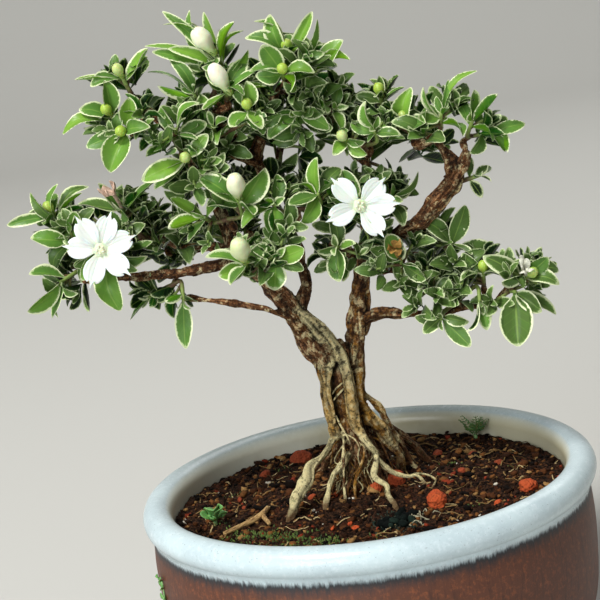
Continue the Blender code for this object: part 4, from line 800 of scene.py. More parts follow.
def swept(samples, corners):
    """A closed tube: a circle of each sample's radius, square to the path, drawn to a pole at each end."""
    along, u, v = path_frames(samples[:, :3])
    ring = spokes(even_turns(corners), u[:, None], v[:, None])
    rings = samples[:, None, :3] + samples[:, None, 3:4] * ring
    start = samples[0, :3] - along[0] * 0.5 * samples[0, 3]
    end = samples[-1, :3] + along[-1] * 0.5 * samples[-1, 3]
    return ring_skins(rings[None], start, end)


def tube_rows(samples, corners):
    """For each point of a swept tube, the number of the sample that it stands round."""
    return np.concatenate([[0], np.repeat(np.arange(len(samples)), corners), [len(samples) - 1]])


def signed_volume(skin):
    """Six times the volume that the faces close in: the sum of a . (b x c) over their triangles."""
    corners = np.concatenate([skin.quads[:, [0, 1, 2]], skin.quads[:, [0, 2, 3]], skin.tris])
    a, b, c = (skin.points[corners[:, k]] for k in range(3))
    return float(np.sum(a * np.cross(b, c)))


def plain_mesh(name, points, quads, tris=()):
    """A mesh of four- and three-cornered faces."""
    mesh = bpy.data.meshes.new(name)
    mesh.from_pydata(points.tolist(), [], quads.tolist() + np.asarray(tris).tolist())
    return mesh


def linked(name, data):
    """An object in the scene that carries this mesh, lamp or camera."""
    new = bpy.data.objects.new(name, data)
    bpy.context.scene.collection.objects.link(new)
    return new


def read_values(items, name, width=3, kind=np.float32):
    """What the items of a mesh hold under a name, as one flat array."""
    values = np.empty(width * len(items), kind)
    items.foreach_get(name, values)
    return values


def make_piece(name, skin, material, nodes=(), crease=None):
    """Make the skin a mesh in metres with its faces outwards, and say what it rides on and stands for."""
    turn = -1 if signed_volume(skin) < 0 else 1
    mesh = plain_mesh(name, skin.points * MM, skin.quads[:, ::turn], skin.tris[:, ::turn])
    for mark, values in skin.marks.items():
        layer = mesh.attributes.new(mark, "FLOAT_VECTOR", "POINT")
        layer.data.foreach_set("vector", values.astype(np.float32).ravel())
    return place_piece(name, mesh, material, nodes, crease)


def place_piece(name, mesh, material, nodes=(), crease=None):
    """Put a mesh in the scene as a piece of the object."""
    mesh.shade_smooth()
    if crease is not None:
        mesh.set_sharp_from_angle(angle=math.radians(crease))
    mesh.materials.clear()
    mesh.materials.append(material)
    piece = linked(name, mesh)
    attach(piece, "root")
    if nodes:
        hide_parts(*nodes)
    return piece


def evaluated_mesh(skin, prepare):
    """The mesh that a skin becomes, in millimetres, with the modifiers that prepare puts on its object."""
    mesh = plain_mesh("work", skin.points, skin.quads, skin.tris)
    work = linked("work", mesh)
    prepare(work)
    graph = bpy.context.evaluated_depsgraph_get()
    result = bpy.data.meshes.new_from_object(work.evaluated_get(graph))
    bpy.data.objects.remove(work)
    bpy.data.meshes.remove(mesh)
    return result


# Materials

def feed(tree, node, sockets):
    """Set a node's sockets, each to a value or linked from what feeds it: a socket, or a node by its first
    output. A colour may be a hex code."""
    for name, value in sockets.items():
        if isinstance(value, bpy.types.Node):
            value = value.outputs[0]
        if isinstance(value, bpy.types.NodeSocket):
            tree.links.new(value, node.inputs[name])
        else:
            node.inputs[name].default_value = hex_colour(value) if isinstance(value, str) else value


def add(tree, kind, sockets, **settings):
    """Add a shader node with its own settings and what its sockets are fed."""
    new = tree.nodes.new("ShaderNode" + kind)
    for name, value in settings.items():
        setattr(new, name, value)
    feed(tree, new, sockets)
    return new


def tint(tree, ground, colour, value, low, high, top=1.0):
    """A colour laid over the ground where a value lies from low to high, up to the share top."""
    share = add(tree, "MapRange", {"Value": value, "From Min": low, "From Max": high, "To Max": top})
    return add(tree, "MixRGB", {"Fac": share, "Color1": ground, "Color2": colour})


def surface(material, sockets, height=None, strength=0.0, depth=0.0):
    """The material with its shader fed, and with relief from a height that counts for a depth in
    millimetres."""
    tree = material.node_tree
    if height is not None:
        relief = {"Height": height, "Strength": strength, "Distance": depth * MM}
        sockets["Normal"] = add(tree, "Bump", relief)
    feed(tree, tree.nodes["Principled BSDF"], sockets)
    return material


def start_material(name):
    """A new material with its tree, and Object coordinates turned to millimetres."""
    material = bpy.data.materials.new(name)
    material.use_nodes = True
    tree = material.node_tree
    metres = add(tree, "TexCoord", {}).outputs["Object"]
    place = add(tree, "VectorMath", {0: metres, "Scale": 1 / MM}, operation="SCALE")
    return material, tree, place


def carried(tree, name):
    """The three parts of the vector that a piece carries at its points under this name."""
    vector = add(tree, "Attribute", {}, attribute_name=name).outputs["Vector"]
    return add(tree, "SeparateXYZ", {"Vector": vector}).outputs


def pot_material(pot):
    """Glazed stoneware: a pale glossy glaze with fine dark specks on the lip, which breaks into streaks
    and a dark line over a reddish-brown body thrown on the wheel."""
    material, tree, place = start_material("glazed stoneware")
    x, y, z = add(tree, "SeparateXYZ", {"Vector": place}).outputs
    # Streaks run down the wall, about 0.8 mm wide and 8 mm long
    drawn = add(tree, "Mapping", {"Vector": place, "Scale": (1.3, 1.3, 0.12)})
    streaks = add(tree, "TexNoise", {"Vector": drawn, "Scale": 1.0, "Detail": 4.0, "Roughness": 0.7})
    cloud = add(tree, "TexNoise", {"Vector": place, "Scale": 0.09, "Detail": 3.0})
    mottle = add(tree, "TexNoise", {"Vector": place, "Scale": 0.8, "Detail": 5.0, "Roughness": 0.75})
    fine = add(tree, "TexNoise", {"Vector": place, "Scale": 2.6, "Detail": 2.0})

    shift = add(tree, "MapRange", {"Value": streaks, "From Min": 0.3, "From Max": 0.7, "To Min": -0.55,
                                   "To Max": 0.55})
    edge = add(tree, "Math", {0: z, 1: shift}, operation="ADD")
    glazed = add(tree, "MapRange", {"Value": edge, "From Min": 37.1, "From Max": 38.7},
                 interpolation_type="SMOOTHSTEP")
    line = add(tree, "MapRange", {"Value": edge, "From Min": 34.4, "From Max": 37.6},
               interpolation_type="SMOOTHSTEP")

    glaze = tint(tree, pot.glaze, pot.glaze_shade, cloud, 0.35, 0.75, 0.5)
    # Painted shade: the glaze is greyed towards the back of the pot
    glaze = tint(tree, glaze, "#a2aca4", y, 5.0, 45.0, 0.6)
    glaze = tint(tree, glaze, "#56646c", fine, 0.33, 0.24, 0.75)
    glaze = tint(tree, glaze, "#dfeaf0", mottle, 0.5, 0.75, 0.6)

    clay = tint(tree, pot.clay, pot.clay_light, mottle, 0.5, 0.68)
    clay = tint(tree, clay, "#3a1f17", streaks, 0.5, 0.72, 0.75)

    shade = add(tree, "MixRGB", {"Fac": line, "Color1": clay, "Color2": pot.clay_dark})
    shade = add(tree, "MixRGB", {"Fac": glazed, "Color1": shade, "Color2": glaze})
    # Painted light: the inner wall's glaze is lightened to a pale cream that stands in for light on it,
    # and it is stained by damp soil
    square = add(tree, "VectorMath", {0: place, 1: (1, 1, 0)}, operation="MULTIPLY")
    radius = add(tree, "VectorMath", {0: square}, operation="LENGTH").outputs["Value"]
    inside = add(tree, "MapRange", {"Value": radius, "From Min": 46.6, "From Max": 45.2})
    above = add(tree, "MapRange", {"Value": z, "From Min": 30.0, "From Max": 34.0})
    inside = add(tree, "Math", {0: inside, 1: above}, operation="MULTIPLY")
    painted_inside_light = add(tree, "Math", {0: inside, 1: 0.85}, operation="MULTIPLY")
    shade = add(tree, "MixRGB", {"Fac": painted_inside_light, "Color1": shade, "Color2": "#f2f0da"})
    damp = add(tree, "Math", {0: x, 1: 0.006, 2: cloud}, operation="MULTIPLY_ADD")
    stain = add(tree, "MapRange", {"Value": damp, "From Min": 0.3, "From Max": 0.65, "To Min": 0.05,
                                   "To Max": 0.6})
    stained = add(tree, "Math", {0: inside, 1: stain}, operation="MULTIPLY")
    shade = add(tree, "MixRGB", {"Fac": stained, "Color1": shade, "Color2": "#aca070"})
    rough = add(tree, "MapRange", {"Value": glazed, "To Min": 0.55, "To Max": 0.24})
    relief = add(tree, "Math", {0: streaks, 1: fine}, operation="ADD")
    return surface(material, {"Base Color": shade, "Roughness": rough}, relief, 0.15, 0.3)


def mesh_material():
    """Moulded polypropylene drain mesh: plain black with a dull sheen and the grain of the mould."""
    material, tree, place = start_material("moulded polypropylene")
    grain = add(tree, "TexNoise", {"Vector": place, "Scale": 3.0, "Detail": 3.0})
    shade = add(tree, "MixRGB", {"Fac": grain, "Color1": "#121212", "Color2": "#262626"})
    return surface(material, {"Base Color": shade, "Roughness": 0.6}, grain, 0.4, 0.2)


def soil_material(soil):
    """Damp potting soil: black-brown and matt, with red-brown and drier lumps of about 2 mm."""
    material, tree, place = start_material("damp potting soil")
    lumps = add(tree, "TexNoise", {"Vector": place, "Scale": 0.45, "Detail": 6.0, "Roughness": 0.7})
    fine = add(tree, "TexNoise", {"Vector": place, "Scale": 1.8, "Detail": 5.0, "Roughness": 0.75})
    shade = tint(tree, soil.dark, soil.light, fine, 0.46, 0.68)
    shade = tint(tree, shade, "#4b2516", lumps, 0.52, 0.66, 0.7)
    return surface(material, {
        "Base Color": shade, "Roughness": 0.92, "Specular IOR Level": 0.1
    }, fine, 0.9, 0.5)


def crumb_material():
    """Loose crumbs of soil, bark, clay and perlite: each its own colour, dry and grainy."""
    material, tree, place = start_material("soil crumbs")
    own = add(tree, "Attribute", {}, attribute_name="crumb_colour").outputs["Vector"]
    fine = add(tree, "TexNoise", {"Vector": place, "Scale": 2.4, "Detail": 4.0, "Roughness": 0.7})
    dim = add(tree, "MapRange", {"Value": fine, "From Min": 0.35, "From Max": 0.65, "To Min": 0.55,
                                 "To Max": 1.15})
    shade = add(tree, "VectorMath", {0: own, "Scale": dim}, operation="SCALE")
    return surface(material, {
        "Base Color": shade, "Roughness": 0.9, "Specular IOR Level": 0.1
    }, fine, 0.8, 0.3)


def baked_clay_material(soil):
    """Fired clay granules: red-orange and matt, with pits and dark pores about 0.5 mm wide."""
    material, tree, place = start_material("fired clay")
    cloud = add(tree, "TexNoise", {"Vector": place, "Scale": 0.6, "Detail": 4.0, "Roughness": 0.7})
    pores = add(tree, "TexVoronoi", {"Vector": place, "Scale": 1.5})
    shade = add(tree, "MixRGB", {"Fac": cloud, "Color1": soil.baked, "Color2": "#cf6634"})
    shade = tint(tree, shade, "#3a1a10", cloud, 0.58, 0.75, 0.8)
    shade = tint(tree, shade, "#34150c", pores, 0.32, 0.05, 0.75)
    # Granules away from the front are darker and browner
    y = add(tree, "SeparateXYZ", {"Vector": place}).outputs[1]
    shade = tint(tree, shade, "#5e3122", y, -22.0, 4.0, 0.6)
    return surface(material, {
        "Base Color": shade, "Roughness": 0.85, "Specular IOR Level": 0.2
    }, pores, 0.8, 0.5)


def moss_material(soil):
    """Living moss: soft green tips over near-black bases."""
    material, tree = start_material("moss")[:2]
    height, tone, dark = carried(tree, "moss_place")
    low = add(tree, "MixRGB", {"Fac": tone, "Color1": soil.moss, "Color2": "#7c9a38"})
    low = add(tree, "MixRGB", {"Fac": dark, "Color1": low, "Color2": "#14201c"})
    shade = add(tree, "MixRGB", {"Fac": height, "Color1": "#141a0c", "Color2": low})
    return surface(material, {"Base Color": shade, "Roughness": 0.75})


def weed_material():
    """Soft young weed leaves: fresh green with a paler midrib and a dull surface."""
    material, tree, place = start_material("weed leaf")
    side = carried(tree, "leaf_place")[0]
    cloud = add(tree, "TexNoise", {"Vector": place, "Scale": 0.7, "Detail": 3.0})
    shade = add(tree, "MixRGB", {"Fac": cloud, "Color1": "#3f7d3a", "Color2": "#86bd6c"})
    # Painted shade: leaves are darkened towards the back, so the rear weed is darker than the front one
    y = add(tree, "SeparateXYZ", {"Vector": place}).outputs[1]
    shade = tint(tree, shade, "#2c5a20", y, -10.0, 10.0, 0.7)
    off = add(tree, "Math", {0: side}, operation="ABSOLUTE")
    shade = tint(tree, shade, "#9cc083", off, 0.16, 0.0, 0.5)
    return surface(material, {
        "Base Color": shade, "Roughness": 0.5, "Subsurface Weight": 0.15, "Subsurface Scale": 1.0 * MM
    })


def dry_root_material():
    """Dry, dead root: tan and fibrous with fine brown strands along it."""
    material, tree = start_material("dry root")[:2]
    grain = add(tree, "Attribute", {}, attribute_name="grain").outputs["Vector"]
    fibres = add(tree, "TexNoise", {"Vector": grain, "Scale": 3.0, "Detail": 4.0, "Roughness": 0.7})
    shade = tint(tree, "#c6a36a", "#6e4f2b", fibres, 0.4, 0.62)
    return surface(material, {"Base Color": shade, "Roughness": 0.85}, fibres, 0.6, 0.2)


def bark_material(tree_settings):
    """Living bark on wood: brown with cream streaks along each strand, ochre patches where it has flaked,
    black-brown painted shade in the grooves between the strands and a green film of algae low down."""
    material, tree, place = start_material("serissa bark")
    cream, groove_shade, gold = carried(tree, "bark_tone")
    grain = add(tree, "Attribute", {}, attribute_name="grain").outputs["Vector"]
    # Streaks are about 0.7 mm wide and follow the strand; patches are about 3 mm
    streaks = add(tree, "TexNoise", {"Vector": grain, "Scale": 1.6, "Detail": 5.0, "Roughness": 0.7})
    fine = add(tree, "TexNoise", {"Vector": place, "Scale": 2.4, "Detail": 4.0, "Roughness": 0.75})
    patches = add(tree, "TexNoise", {"Vector": place, "Scale": 0.36, "Detail": 4.0, "Roughness": 0.65})
    flakes = add(tree, "TexNoise", {"Vector": place, "Scale": 0.75, "Detail": 4.0, "Roughness": 0.7})
    low = tint(tree, "#34200f", tree_settings.bark, fine, 0.36, 0.62)
    low = tint(tree, low, "#cf9668", streaks, 0.5, 0.6, 0.75)
    sum_a = add(tree, "Math", {0: streaks, 1: 1.5, 2: cream}, operation="MULTIPLY_ADD")
    sum_b = add(tree, "Math", {0: patches, 1: 1.9, 2: sum_a}, operation="MULTIPLY_ADD")
    pale = add(tree, "MapRange", {"Value": sum_b, "From Min": 2.02, "From Max": 2.34},
               interpolation_type="SMOOTHSTEP")
    # The trunk's lower half has more ochre than the roots and the stems
    z = add(tree, "SeparateXYZ", {"Vector": place}).outputs[2]
    below = add(tree, "MapRange", {"Value": z, "From Min": 72.0, "From Max": 64.0, "To Max": 0.42})
    over = add(tree, "MapRange", {"Value": z, "From Min": 52.0, "From Max": 57.0})
    ochre_belt = add(tree, "Math", {0: below, 1: over, 2: gold}, operation="MULTIPLY_ADD")
    sum_c = add(tree, "Math", {0: flakes, 1: 1.6, 2: ochre_belt}, operation="MULTIPLY_ADD")
    shade = tint(tree, low, tree_settings.bark_gold, sum_c, 1.1, 1.65, 0.9)
    young = tint(tree, tree_settings.bark_cream, "#cdaa60", fine, 0.44, 0.7, 0.5)
    shade = add(tree, "MixRGB", {"Fac": pale, "Color1": shade, "Color2": young})
    shade = tint(tree, shade, "#cf9a3c", sum_c, 1.28, 1.7, 0.7)
    shade = tint(tree, shade, "#1f120b", streaks, 0.43, 0.33, 0.9)
    dots = add(tree, "TexNoise", {"Vector": place, "Scale": 1.0, "Detail": 3.0})
    shade = tint(tree, shade, "#2a1b12", dots, 0.37, 0.32, 0.8)
    # Above the roots the bark is blotched, dark and pale, about 2 mm across
    blotch = add(tree, "TexNoise", {"Vector": place, "Scale": 0.55, "Detail": 5.0, "Roughness": 0.75})
    upper = add(tree, "MapRange", {"Value": z, "From Min": 48.0, "From Max": 58.0, "To Min": 0.35})
    dim = add(tree, "MapRange", {"Value": blotch, "From Min": 0.48, "From Max": 0.4, "To Max": 0.85})
    dim = add(tree, "Math", {0: dim, 1: upper}, operation="MULTIPLY")
    shade = add(tree, "MixRGB", {"Fac": dim, "Color1": shade, "Color2": "#2a160a"})
    lit = add(tree, "MapRange", {"Value": blotch, "From Min": 0.54, "From Max": 0.61, "To Max": 0.85})
    lit = add(tree, "Math", {0: lit, 1: upper}, operation="MULTIPLY")
    shade = add(tree, "MixRGB", {"Fac": lit, "Color1": shade, "Color2": "#f6e3ae"})
    down = add(tree, "MapRange", {"Value": z, "From Min": 76.0, "From Max": 46.0, "To Max": 0.6})
    film = add(tree, "MapRange", {"Value": flakes, "From Min": 0.55, "From Max": 0.66})
    algae = add(tree, "Math", {0: down, 1: film}, operation="MULTIPLY")
    shade = add(tree, "MixRGB", {"Fac": algae, "Color1": shade, "Color2": "#4a5219"})
    # Painted shade: the grooves where strands meet are darkened to black-brown; on fine roots the same
    # share is their own darker bark
    shade = add(tree, "MixRGB", {"Fac": groove_shade, "Color1": shade, "Color2": tree_settings.bark_groove_shade})
    soiled = add(tree, "Math", {0: patches, 1: 5.0, 2: z}, operation="MULTIPLY_ADD")
    shade = tint(tree, shade, "#5f391c", soiled, 45.8, 43.9, 0.85)
    rough = add(tree, "MapRange", {"Value": fine, "To Min": 0.6, "To Max": 0.9})
    relief = add(tree, "Math", {0: streaks, 1: fine}, operation="ADD")
    return surface(material, {
        "Base Color": shade, "Roughness": rough, "Specular IOR Level": 0.2
    }, relief, 1.0, 0.9)


def shoot_material():
    """Young shoots: green skin that turns brown and woody towards the twig."""
    material, tree, place = start_material("green shoot")
    share = carried(tree, "shoot_place")[0]
    cloud = add(tree, "TexNoise", {"Vector": place, "Scale": 1.2, "Detail": 3.0})
    young = add(tree, "Math", {0: share, 1: cloud}, operation="ADD")
    shade = tint(tree, "#5a4029", "#7d9448", young, 0.65, 1.15)
    return surface(material, {"Base Color": shade, "Roughness": 0.6})


def leaf_material(leaf):
    """Variegated serissa leaf: a waxy green blade, bright when young and dark in the shade, with a paler
    midrib, faint side veins and an uneven cream-white margin."""
    material, tree, place = start_material("variegated leaf")
    side, along, edge = carried(tree, "leaf_place")
    young, shaded, breadth = carried(tree, "leaf_tone")
    upper = carried(tree, "upper_side")[0]
    cloud = add(tree, "TexNoise", {"Vector": place, "Scale": 0.5, "Detail": 3.0})
    fine = add(tree, "TexNoise", {"Vector": place, "Scale": 2.6, "Detail": 3.0, "Roughness": 0.6})
    # Painted light and shade: the tone that picks the green is lighter high up and at the front, darker
    # inside the crown
    young_and_lit = add(tree, "Math", {0: cloud, 1: 0.5, 2: young}, operation="MULTIPLY_ADD")
    shade = tint(tree, leaf.dark, leaf.full, young_and_lit, 0.22, 0.62)
    shade = tint(tree, shade, leaf.light, young_and_lit, 0.62, 1.15)
    off = add(tree, "Math", {0: side}, operation="ABSOLUTE")
    # Painted shade: the blade is darkened beside its margin, so that its middle looks lit
    shade = tint(tree, shade, leaf.dark, off, 0.35, 0.95, 0.45)
    # Side veins leave the midrib forwards, six on each side
    slope = add(tree, "Math", {0: off, 1: -0.22, 2: along}, operation="MULTIPLY_ADD")
    comb = add(tree, "Math", {0: slope, 1: 0.075}, operation="PINGPONG")
    vein = add(tree, "MapRange", {"Value": comb, "From Min": 0.01, "From Max": 0.0, "To Max": 0.22})
    shade = add(tree, "MixRGB", {"Fac": vein, "Color1": shade, "Color2": "#8db545"})
    rib = add(tree, "MapRange", {"Value": off, "From Min": 0.1, "From Max": 0.02, "To Max": 0.45})
    shade = add(tree, "MixRGB", {"Fac": rib, "Color1": shade, "Color2": "#a9c75c"})
    # Grey-green feathers where the margin meets the blade
    wobble = add(tree, "Math", {0: fine, 1: -0.7, 2: edge}, operation="MULTIPLY_ADD")
    wobble = add(tree, "Math", {0: cloud, 1: -0.6, 2: wobble}, operation="MULTIPLY_ADD")
    wide = add(tree, "Math", {0: breadth, 1: wobble}, operation="SUBTRACT")
    shade = tint(tree, shade, "#8fae66", wide, 0.34, 0.64, 0.4)
    margin = add(tree, "MapRange", {"Value": wide, "From Min": 0.64, "From Max": 0.71})
    # Painted shade: leaves inside the crown are darkened, and their margins made greener
    inside = add(tree, "Math", {0: shaded, 1: 0.75}, operation="MULTIPLY")
    shade = add(tree, "MixRGB", {"Fac": inside, "Color1": shade, "Color2": leaf.dark})
    cream = add(tree, "MixRGB", {"Fac": inside, "Color1": leaf.cream, "Color2": "#6f8f45"})
    shade = add(tree, "MixRGB", {"Fac": margin, "Color1": shade, "Color2": cream})
    shade = tint(tree, shade, leaf.under, upper, 0.8, 0.2, 0.5)
    rough = add(tree, "MapRange", {"Value": fine, "To Min": 0.22, "To Max": 0.42})
    relief = add(tree, "Math", {0: vein, 1: rib}, operation="ADD")
    return surface(material, {
        "Base Color": shade, "Roughness": rough, "IOR": 1.38, "Specular IOR Level": 0.3,
        "Subsurface Weight": 0.06, "Subsurface Scale": 1.2 * MM, "Subsurface Radius": (0.6, 1.0, 0.25)
    }, relief, 0.4, 0.15)


def petal_material(flower):
    """Fresh petal: pure white and softly translucent, with fine lengthwise creases and a green throat,
    partly painted shade.
    """
    material, tree = start_material("white petal")[:2]
    place = add(tree, "Attribute", {}, attribute_name="leaf_place").outputs["Vector"]
    along = add(tree, "SeparateXYZ", {"Vector": place}).outputs[1]
    # Partly painted shade: the petal turns pale green towards the throat, its own tint deepened by the
    # shadow there
    shade = tint(tree, flower.white, flower.throat, along, 0.3, 0.02, 0.9)
    creases = add(tree, "TexWave", {"Vector": place, "Scale": 0.9, "Distortion": 0.6}, bands_direction="X")
    return surface(material, {
        "Base Color": shade, "Roughness": 0.45, "Subsurface Weight": 0.3, "Subsurface Scale": 1.5 * MM
    }, creases, 0.25, 0.2)


def bud_material(flower):
    """Closed bud: cream and slightly waxy, yellow-green towards its green calyx."""
    material, tree, place = start_material("flower bud")
    along, tone, calyx = carried(tree, "bud_place")
    cloud = add(tree, "TexNoise", {"Vector": place, "Scale": 0.8, "Detail": 3.0})
    whiter = add(tree, "Math", {0: cloud, 1: 0.5, 2: tone}, operation="MULTIPLY_ADD")
    shade = tint(tree, "#a3c04a", flower.bud, whiter, 0.2, 1.2)
    shade = tint(tree, shade, "#9bb54a", along, 0.52, 0.12, 0.85)
    shade = add(tree, "MixRGB", {"Fac": calyx, "Color1": shade, "Color2": "#6b8a38"})
    return surface(material, {
        "Base Color": shade, "Roughness": 0.42, "Subsurface Weight": 0.25, "Subsurface Scale": 1.5 * MM
    }, cloud, 0.2, 0.3)


def wilted_material():
    """Wilted petal: its own faded colour, papery and crumpled."""
    material, tree, place = start_material("wilted petal")
    own = add(tree, "Attribute", {}, attribute_name="crumb_colour").outputs["Vector"]
    crumple = add(tree, "TexNoise", {"Vector": place, "Scale": 1.4, "Detail": 4.0})
    dim = add(tree, "MapRange", {"Value": crumple, "From Min": 0.35, "From Max": 0.65, "To Min": 0.6,
                                 "To Max": 1.1})
    shade = add(tree, "VectorMath", {0: own, "Scale": dim}, operation="SCALE")
    return surface(material, {"Base Color": shade, "Roughness": 0.7}, crumple, 0.6, 0.4)


def paper_material(stage):
    """Matt studio paper: plain and pale, with a hardly visible tooth."""
    material, tree, place = start_material("studio paper")
    tooth = add(tree, "TexNoise", {"Vector": place, "Scale": 0.5, "Detail": 2.0})
    return surface(material, {"Base Color": stage.ground, "Roughness": 0.9}, tooth, 0.05, 0.1)


# Pot and soil

def turned_skin(profile, count):
    """A profile of radius and height turned round the Z axis: x = r cos a, y = r sin a; its first and last
    points lie on the axis and close it."""
    angle = even_turns(count)
    radius, height = profile[1:-1, :1], profile[1:-1, 1:]
    rings = np.stack([radius * np.cos(angle), radius * np.sin(angle), height + 0 * angle], -1)
    return ring_skins(rings[None], (0, 0, profile[0, 1]), (0, 0, profile[-1, 1]))


def inner_wall(pot):
    """The pot's inside, as radius and height from the floor up to the lip."""
    return [(36, pot.floor / MM), (42.4, 9.5), (45.3, 20), (45.7, 31), (45.3, 39)]


def flat_curve(points, step):
    """Points close along the smooth curve through points of radius and height."""
    route = [(r, 0, z, 0) for r, z in points]
    return smooth_route(route, step)[:, [0, 2]]


def pot_skin(pot):
    """The pot as a turned profile: floor, inner wall, a lip that is an arc, the outside and the foot; the
    outside swells and sinks by a tenth of a millimetre, as hand-thrown clay does."""
    lip_radius = pot.lip_radius / MM
    circle = pot.rim_radius / MM - lip_radius
    degrees = np.radians(np.linspace(190, -55, 36))
    lip = vec((circle, pot.lip_height / MM)) + lip_radius * np.stack([np.cos(degrees), np.sin(degrees)], -1)
    outside = [(50.2, 37.6), (50.6, 29), (50.1, 19), (49, 12.5), (47, 7.5), (44.2, 3), (42.2, 0.7),
               (pot.foot_radius / MM, 0)]
    floor = pot.floor / MM
    flat = [(r, floor) for r in (0, 6, 18, 30)]
    foot = [(34, 0), (22, 0), (6, 0), (0, 0)]
    profile = np.vstack([flat, flat_curve(inner_wall(pot), 1.5), lip, flat_curve(outside, 1.3), foot])
    skin = turned_skin(profile, 192)
    radius = np.hypot(skin.points[:, 0], skin.points[:, 1])
    outer = smooth_step(46.2, 48.5, radius) * smooth_step(0.4, 3, skin.points[:, 2])
    swell = 0.14 * noise(skin.points * 0.09, 3) * outer
    skin.points[:, :2] *= (1 + swell / np.maximum(radius, 1))[:, None]
    return skin


def soil_form(x, y, level, rise, wave):
    """The soil's height without its clumps: small waves on a mound of exp(-(distance / spread)^2 / 2)."""
    square = (x - MOUND_MIDDLE[0]) ** 2 + (y - MOUND_MIDDLE[1]) ** 2
    waves = np.sin(0.9 * x + 1.3 * np.sin(0.7 * y)) * np.cos(1.1 * y + 0.8 * np.sin(0.5 * x))
    return level + rise * np.exp(-square / (2 * MOUND_SPREAD ** 2)) + wave * waves


def cad_soil(x, y):
    """The level of the CAD soil at a place."""
    return soil_form(x, y, SOIL_LEVEL, SOIL_MOUND, SOIL_WAVE)


def soil_level(places, soil):
    """The soil's height: mound and low waves, and clumps, which are noise folded at zero so that each
    stands round-topped between creases."""
    x, y = places[..., 0], places[..., 1]
    place = np.stack([x, y, 0 * x], -1)
    clumps = 0.7 * np.abs(noise(place * 0.31, 11)) + 0.55 * np.abs(noise(place * 0.72, 12))
    grit = 0.25 * np.abs(noise(place * 1.7, 13)) + 0.1 * noise(place * 3.4, 14)
    low = soil_form(x, y, soil.level / MM, soil.mound / MM, 0.6 * SOIL_WAVE)
    return low + soil.clump / MM * (clumps + grit - 0.32)


def soil_skin(pot, soil):
    """The soil as a turned solid whose top follows the soil level, with a flat plain side and foot."""
    edge = inner_wall(pot)[-1][0] - GAP
    level = soil.level / MM
    top = np.stack([edge * np.linspace(0, 1, 140), np.full(140, level)], -1)
    low = inner_wall(pot)[0][1] + GAP
    side = [(r - GAP, z) for r, z in reversed(inner_wall(pot)[1:-1])]
    foot = [(36 - GAP, low), (24 + GAP, low), (24 + GAP, low + 1.1), (0, low + 1.1)]
    skin = turned_skin(np.vstack([top, [(edge, level - 2)], side, foot]), 330)
    upper = skin.points[:, 2] > level - 0.1
    skin.points[upper, 2] = soil_level(skin.points[upper], soil)
    return skin


def lump_skins(centres, radii, squash, chance, corners=6, rings=3, rough=0.18, marks=None):
    """Small lumps: balls of few faces, flattened and turned, with each point pushed in or out."""
    number = len(centres)
    way = ball_ways((np.arange(rings) + 1) * math.pi / (rings + 1), corners)
    size = radii[:, None, None, None] * (1 + rough * chance.uniform(-1, 1, (number, rings, corners, 1)))
    stretch = chance.uniform(0.75, 1.3, (number, 1, 1, 3)) * vec((1, 1, squash))
    ball = way * size * stretch
    spin = chance.uniform(0, 2 * math.pi, number)[:, None, None]
    x = ball[..., 0] * np.cos(spin) - ball[..., 1] * np.sin(spin)
    y = ball[..., 0] * np.sin(spin) + ball[..., 1] * np.cos(spin)
    tilt = chance.uniform(-0.5, 0.5, number)[:, None, None]
    z = ball[..., 2] * np.cos(tilt) + x * np.sin(tilt)
    rings_at = np.stack([x, y, z], -1) + centres[:, None, None]
    full = {name: np.broadcast_to(value[:, None, None], rings_at.shape[:3] + (3,))
            for name, value in (marks or {}).items()}
    return ring_skins(rings_at, None, None, full)


def crumb_skins(soil):
    """Loose crumbs spread evenly over the soil, mostly small: their sizes are exp(a normal number)."""
    chance = np.random.default_rng(SEEDS["crumbs"])
    number = soil.crumbs
    radius, spots = on_disc(SOIL_EDGE - 0.6, number, chance)
    size = soil.crumb / MM * np.exp(chance.normal(0, 0.45, number))
    size = np.minimum(size, np.maximum(0.25, SOIL_EDGE - 0.1 - radius))
    kinds = palette("#120a06", "#2c190e", "#52301a", "#7a4f2a", "#a27c4c", "#d4cdbd", "#8e3a24")
    pick = chance.choice(len(kinds), number, p=(0.32, 0.2, 0.19, 0.15, 0.08, 0.015, 0.045))
    # The white crumbs of perlite are smaller
    size = np.where(pick == 5, 0.6 * size, size)
    centres = np.column_stack([spots, soil_level(spots, soil) + 0.2 * size])
    tone = kinds[pick] * chance.uniform(0.6, 1.25, (number, 1))
    return lump_skins(centres, size, 0.7, chance, rough=0.3, marks={"crumb_colour": tone})


def fibre_skins(soil):
    """Loose root fibres on the soil: each a thin tube along a path that bends with t squared and follows
    the soil's height."""
    chance = np.random.default_rng(SEEDS["fibres"])
    number = soil.fibres
    t = np.linspace(0, 1, 8)[None, :, None]
    start = on_disc(SOIL_EDGE - 2, number, chance)[1][:, None]
    turn = chance.uniform(0, 2 * math.pi, (number, 1))
    way = np.concatenate([np.cos(turn), np.sin(turn)], 1)[:, None]
    bend = chance.normal(0, 1.3, (number, 1, 2))
    length = chance.uniform(1.5, 6, (number, 1, 1))
    flat = start + way * length * t + bend * t ** 2
    flat = flat * np.minimum(1, (SOIL_EDGE - 0.5) / np.linalg.norm(flat, axis=-1, keepdims=True))
    lift = 0.15 + 0.7 * chance.uniform(0, 1, (number, 1)) ** 3 * np.sin(math.pi * t[..., 0])
    paths = np.concatenate([flat, (soil_level(flat, soil) + lift)[..., None]], -1)
    along = unit(np.gradient(paths, axis=1))
    side = across(vec((0, 0, 1)), along)
    thick = chance.uniform(0.07, 0.2, (number, 1, 1, 1)) * (1.1 - 0.5 * t[..., None])
    kinds = palette("#2a1a10", "#5b3f27", "#9c7f52", "#c9b282")
    tone = kinds[chance.choice(4, number, p=(0.3, 0.3, 0.25, 0.15))]
    ring = spokes(even_turns(4), side[:, :, None], np.cross(along, side)[:, :, None])
    rings = paths[:, :, None] + thick * ring
    return ring_skins(rings, marks={"crumb_colour": np.broadcast_to(tone[:, None, None], rings.shape)})


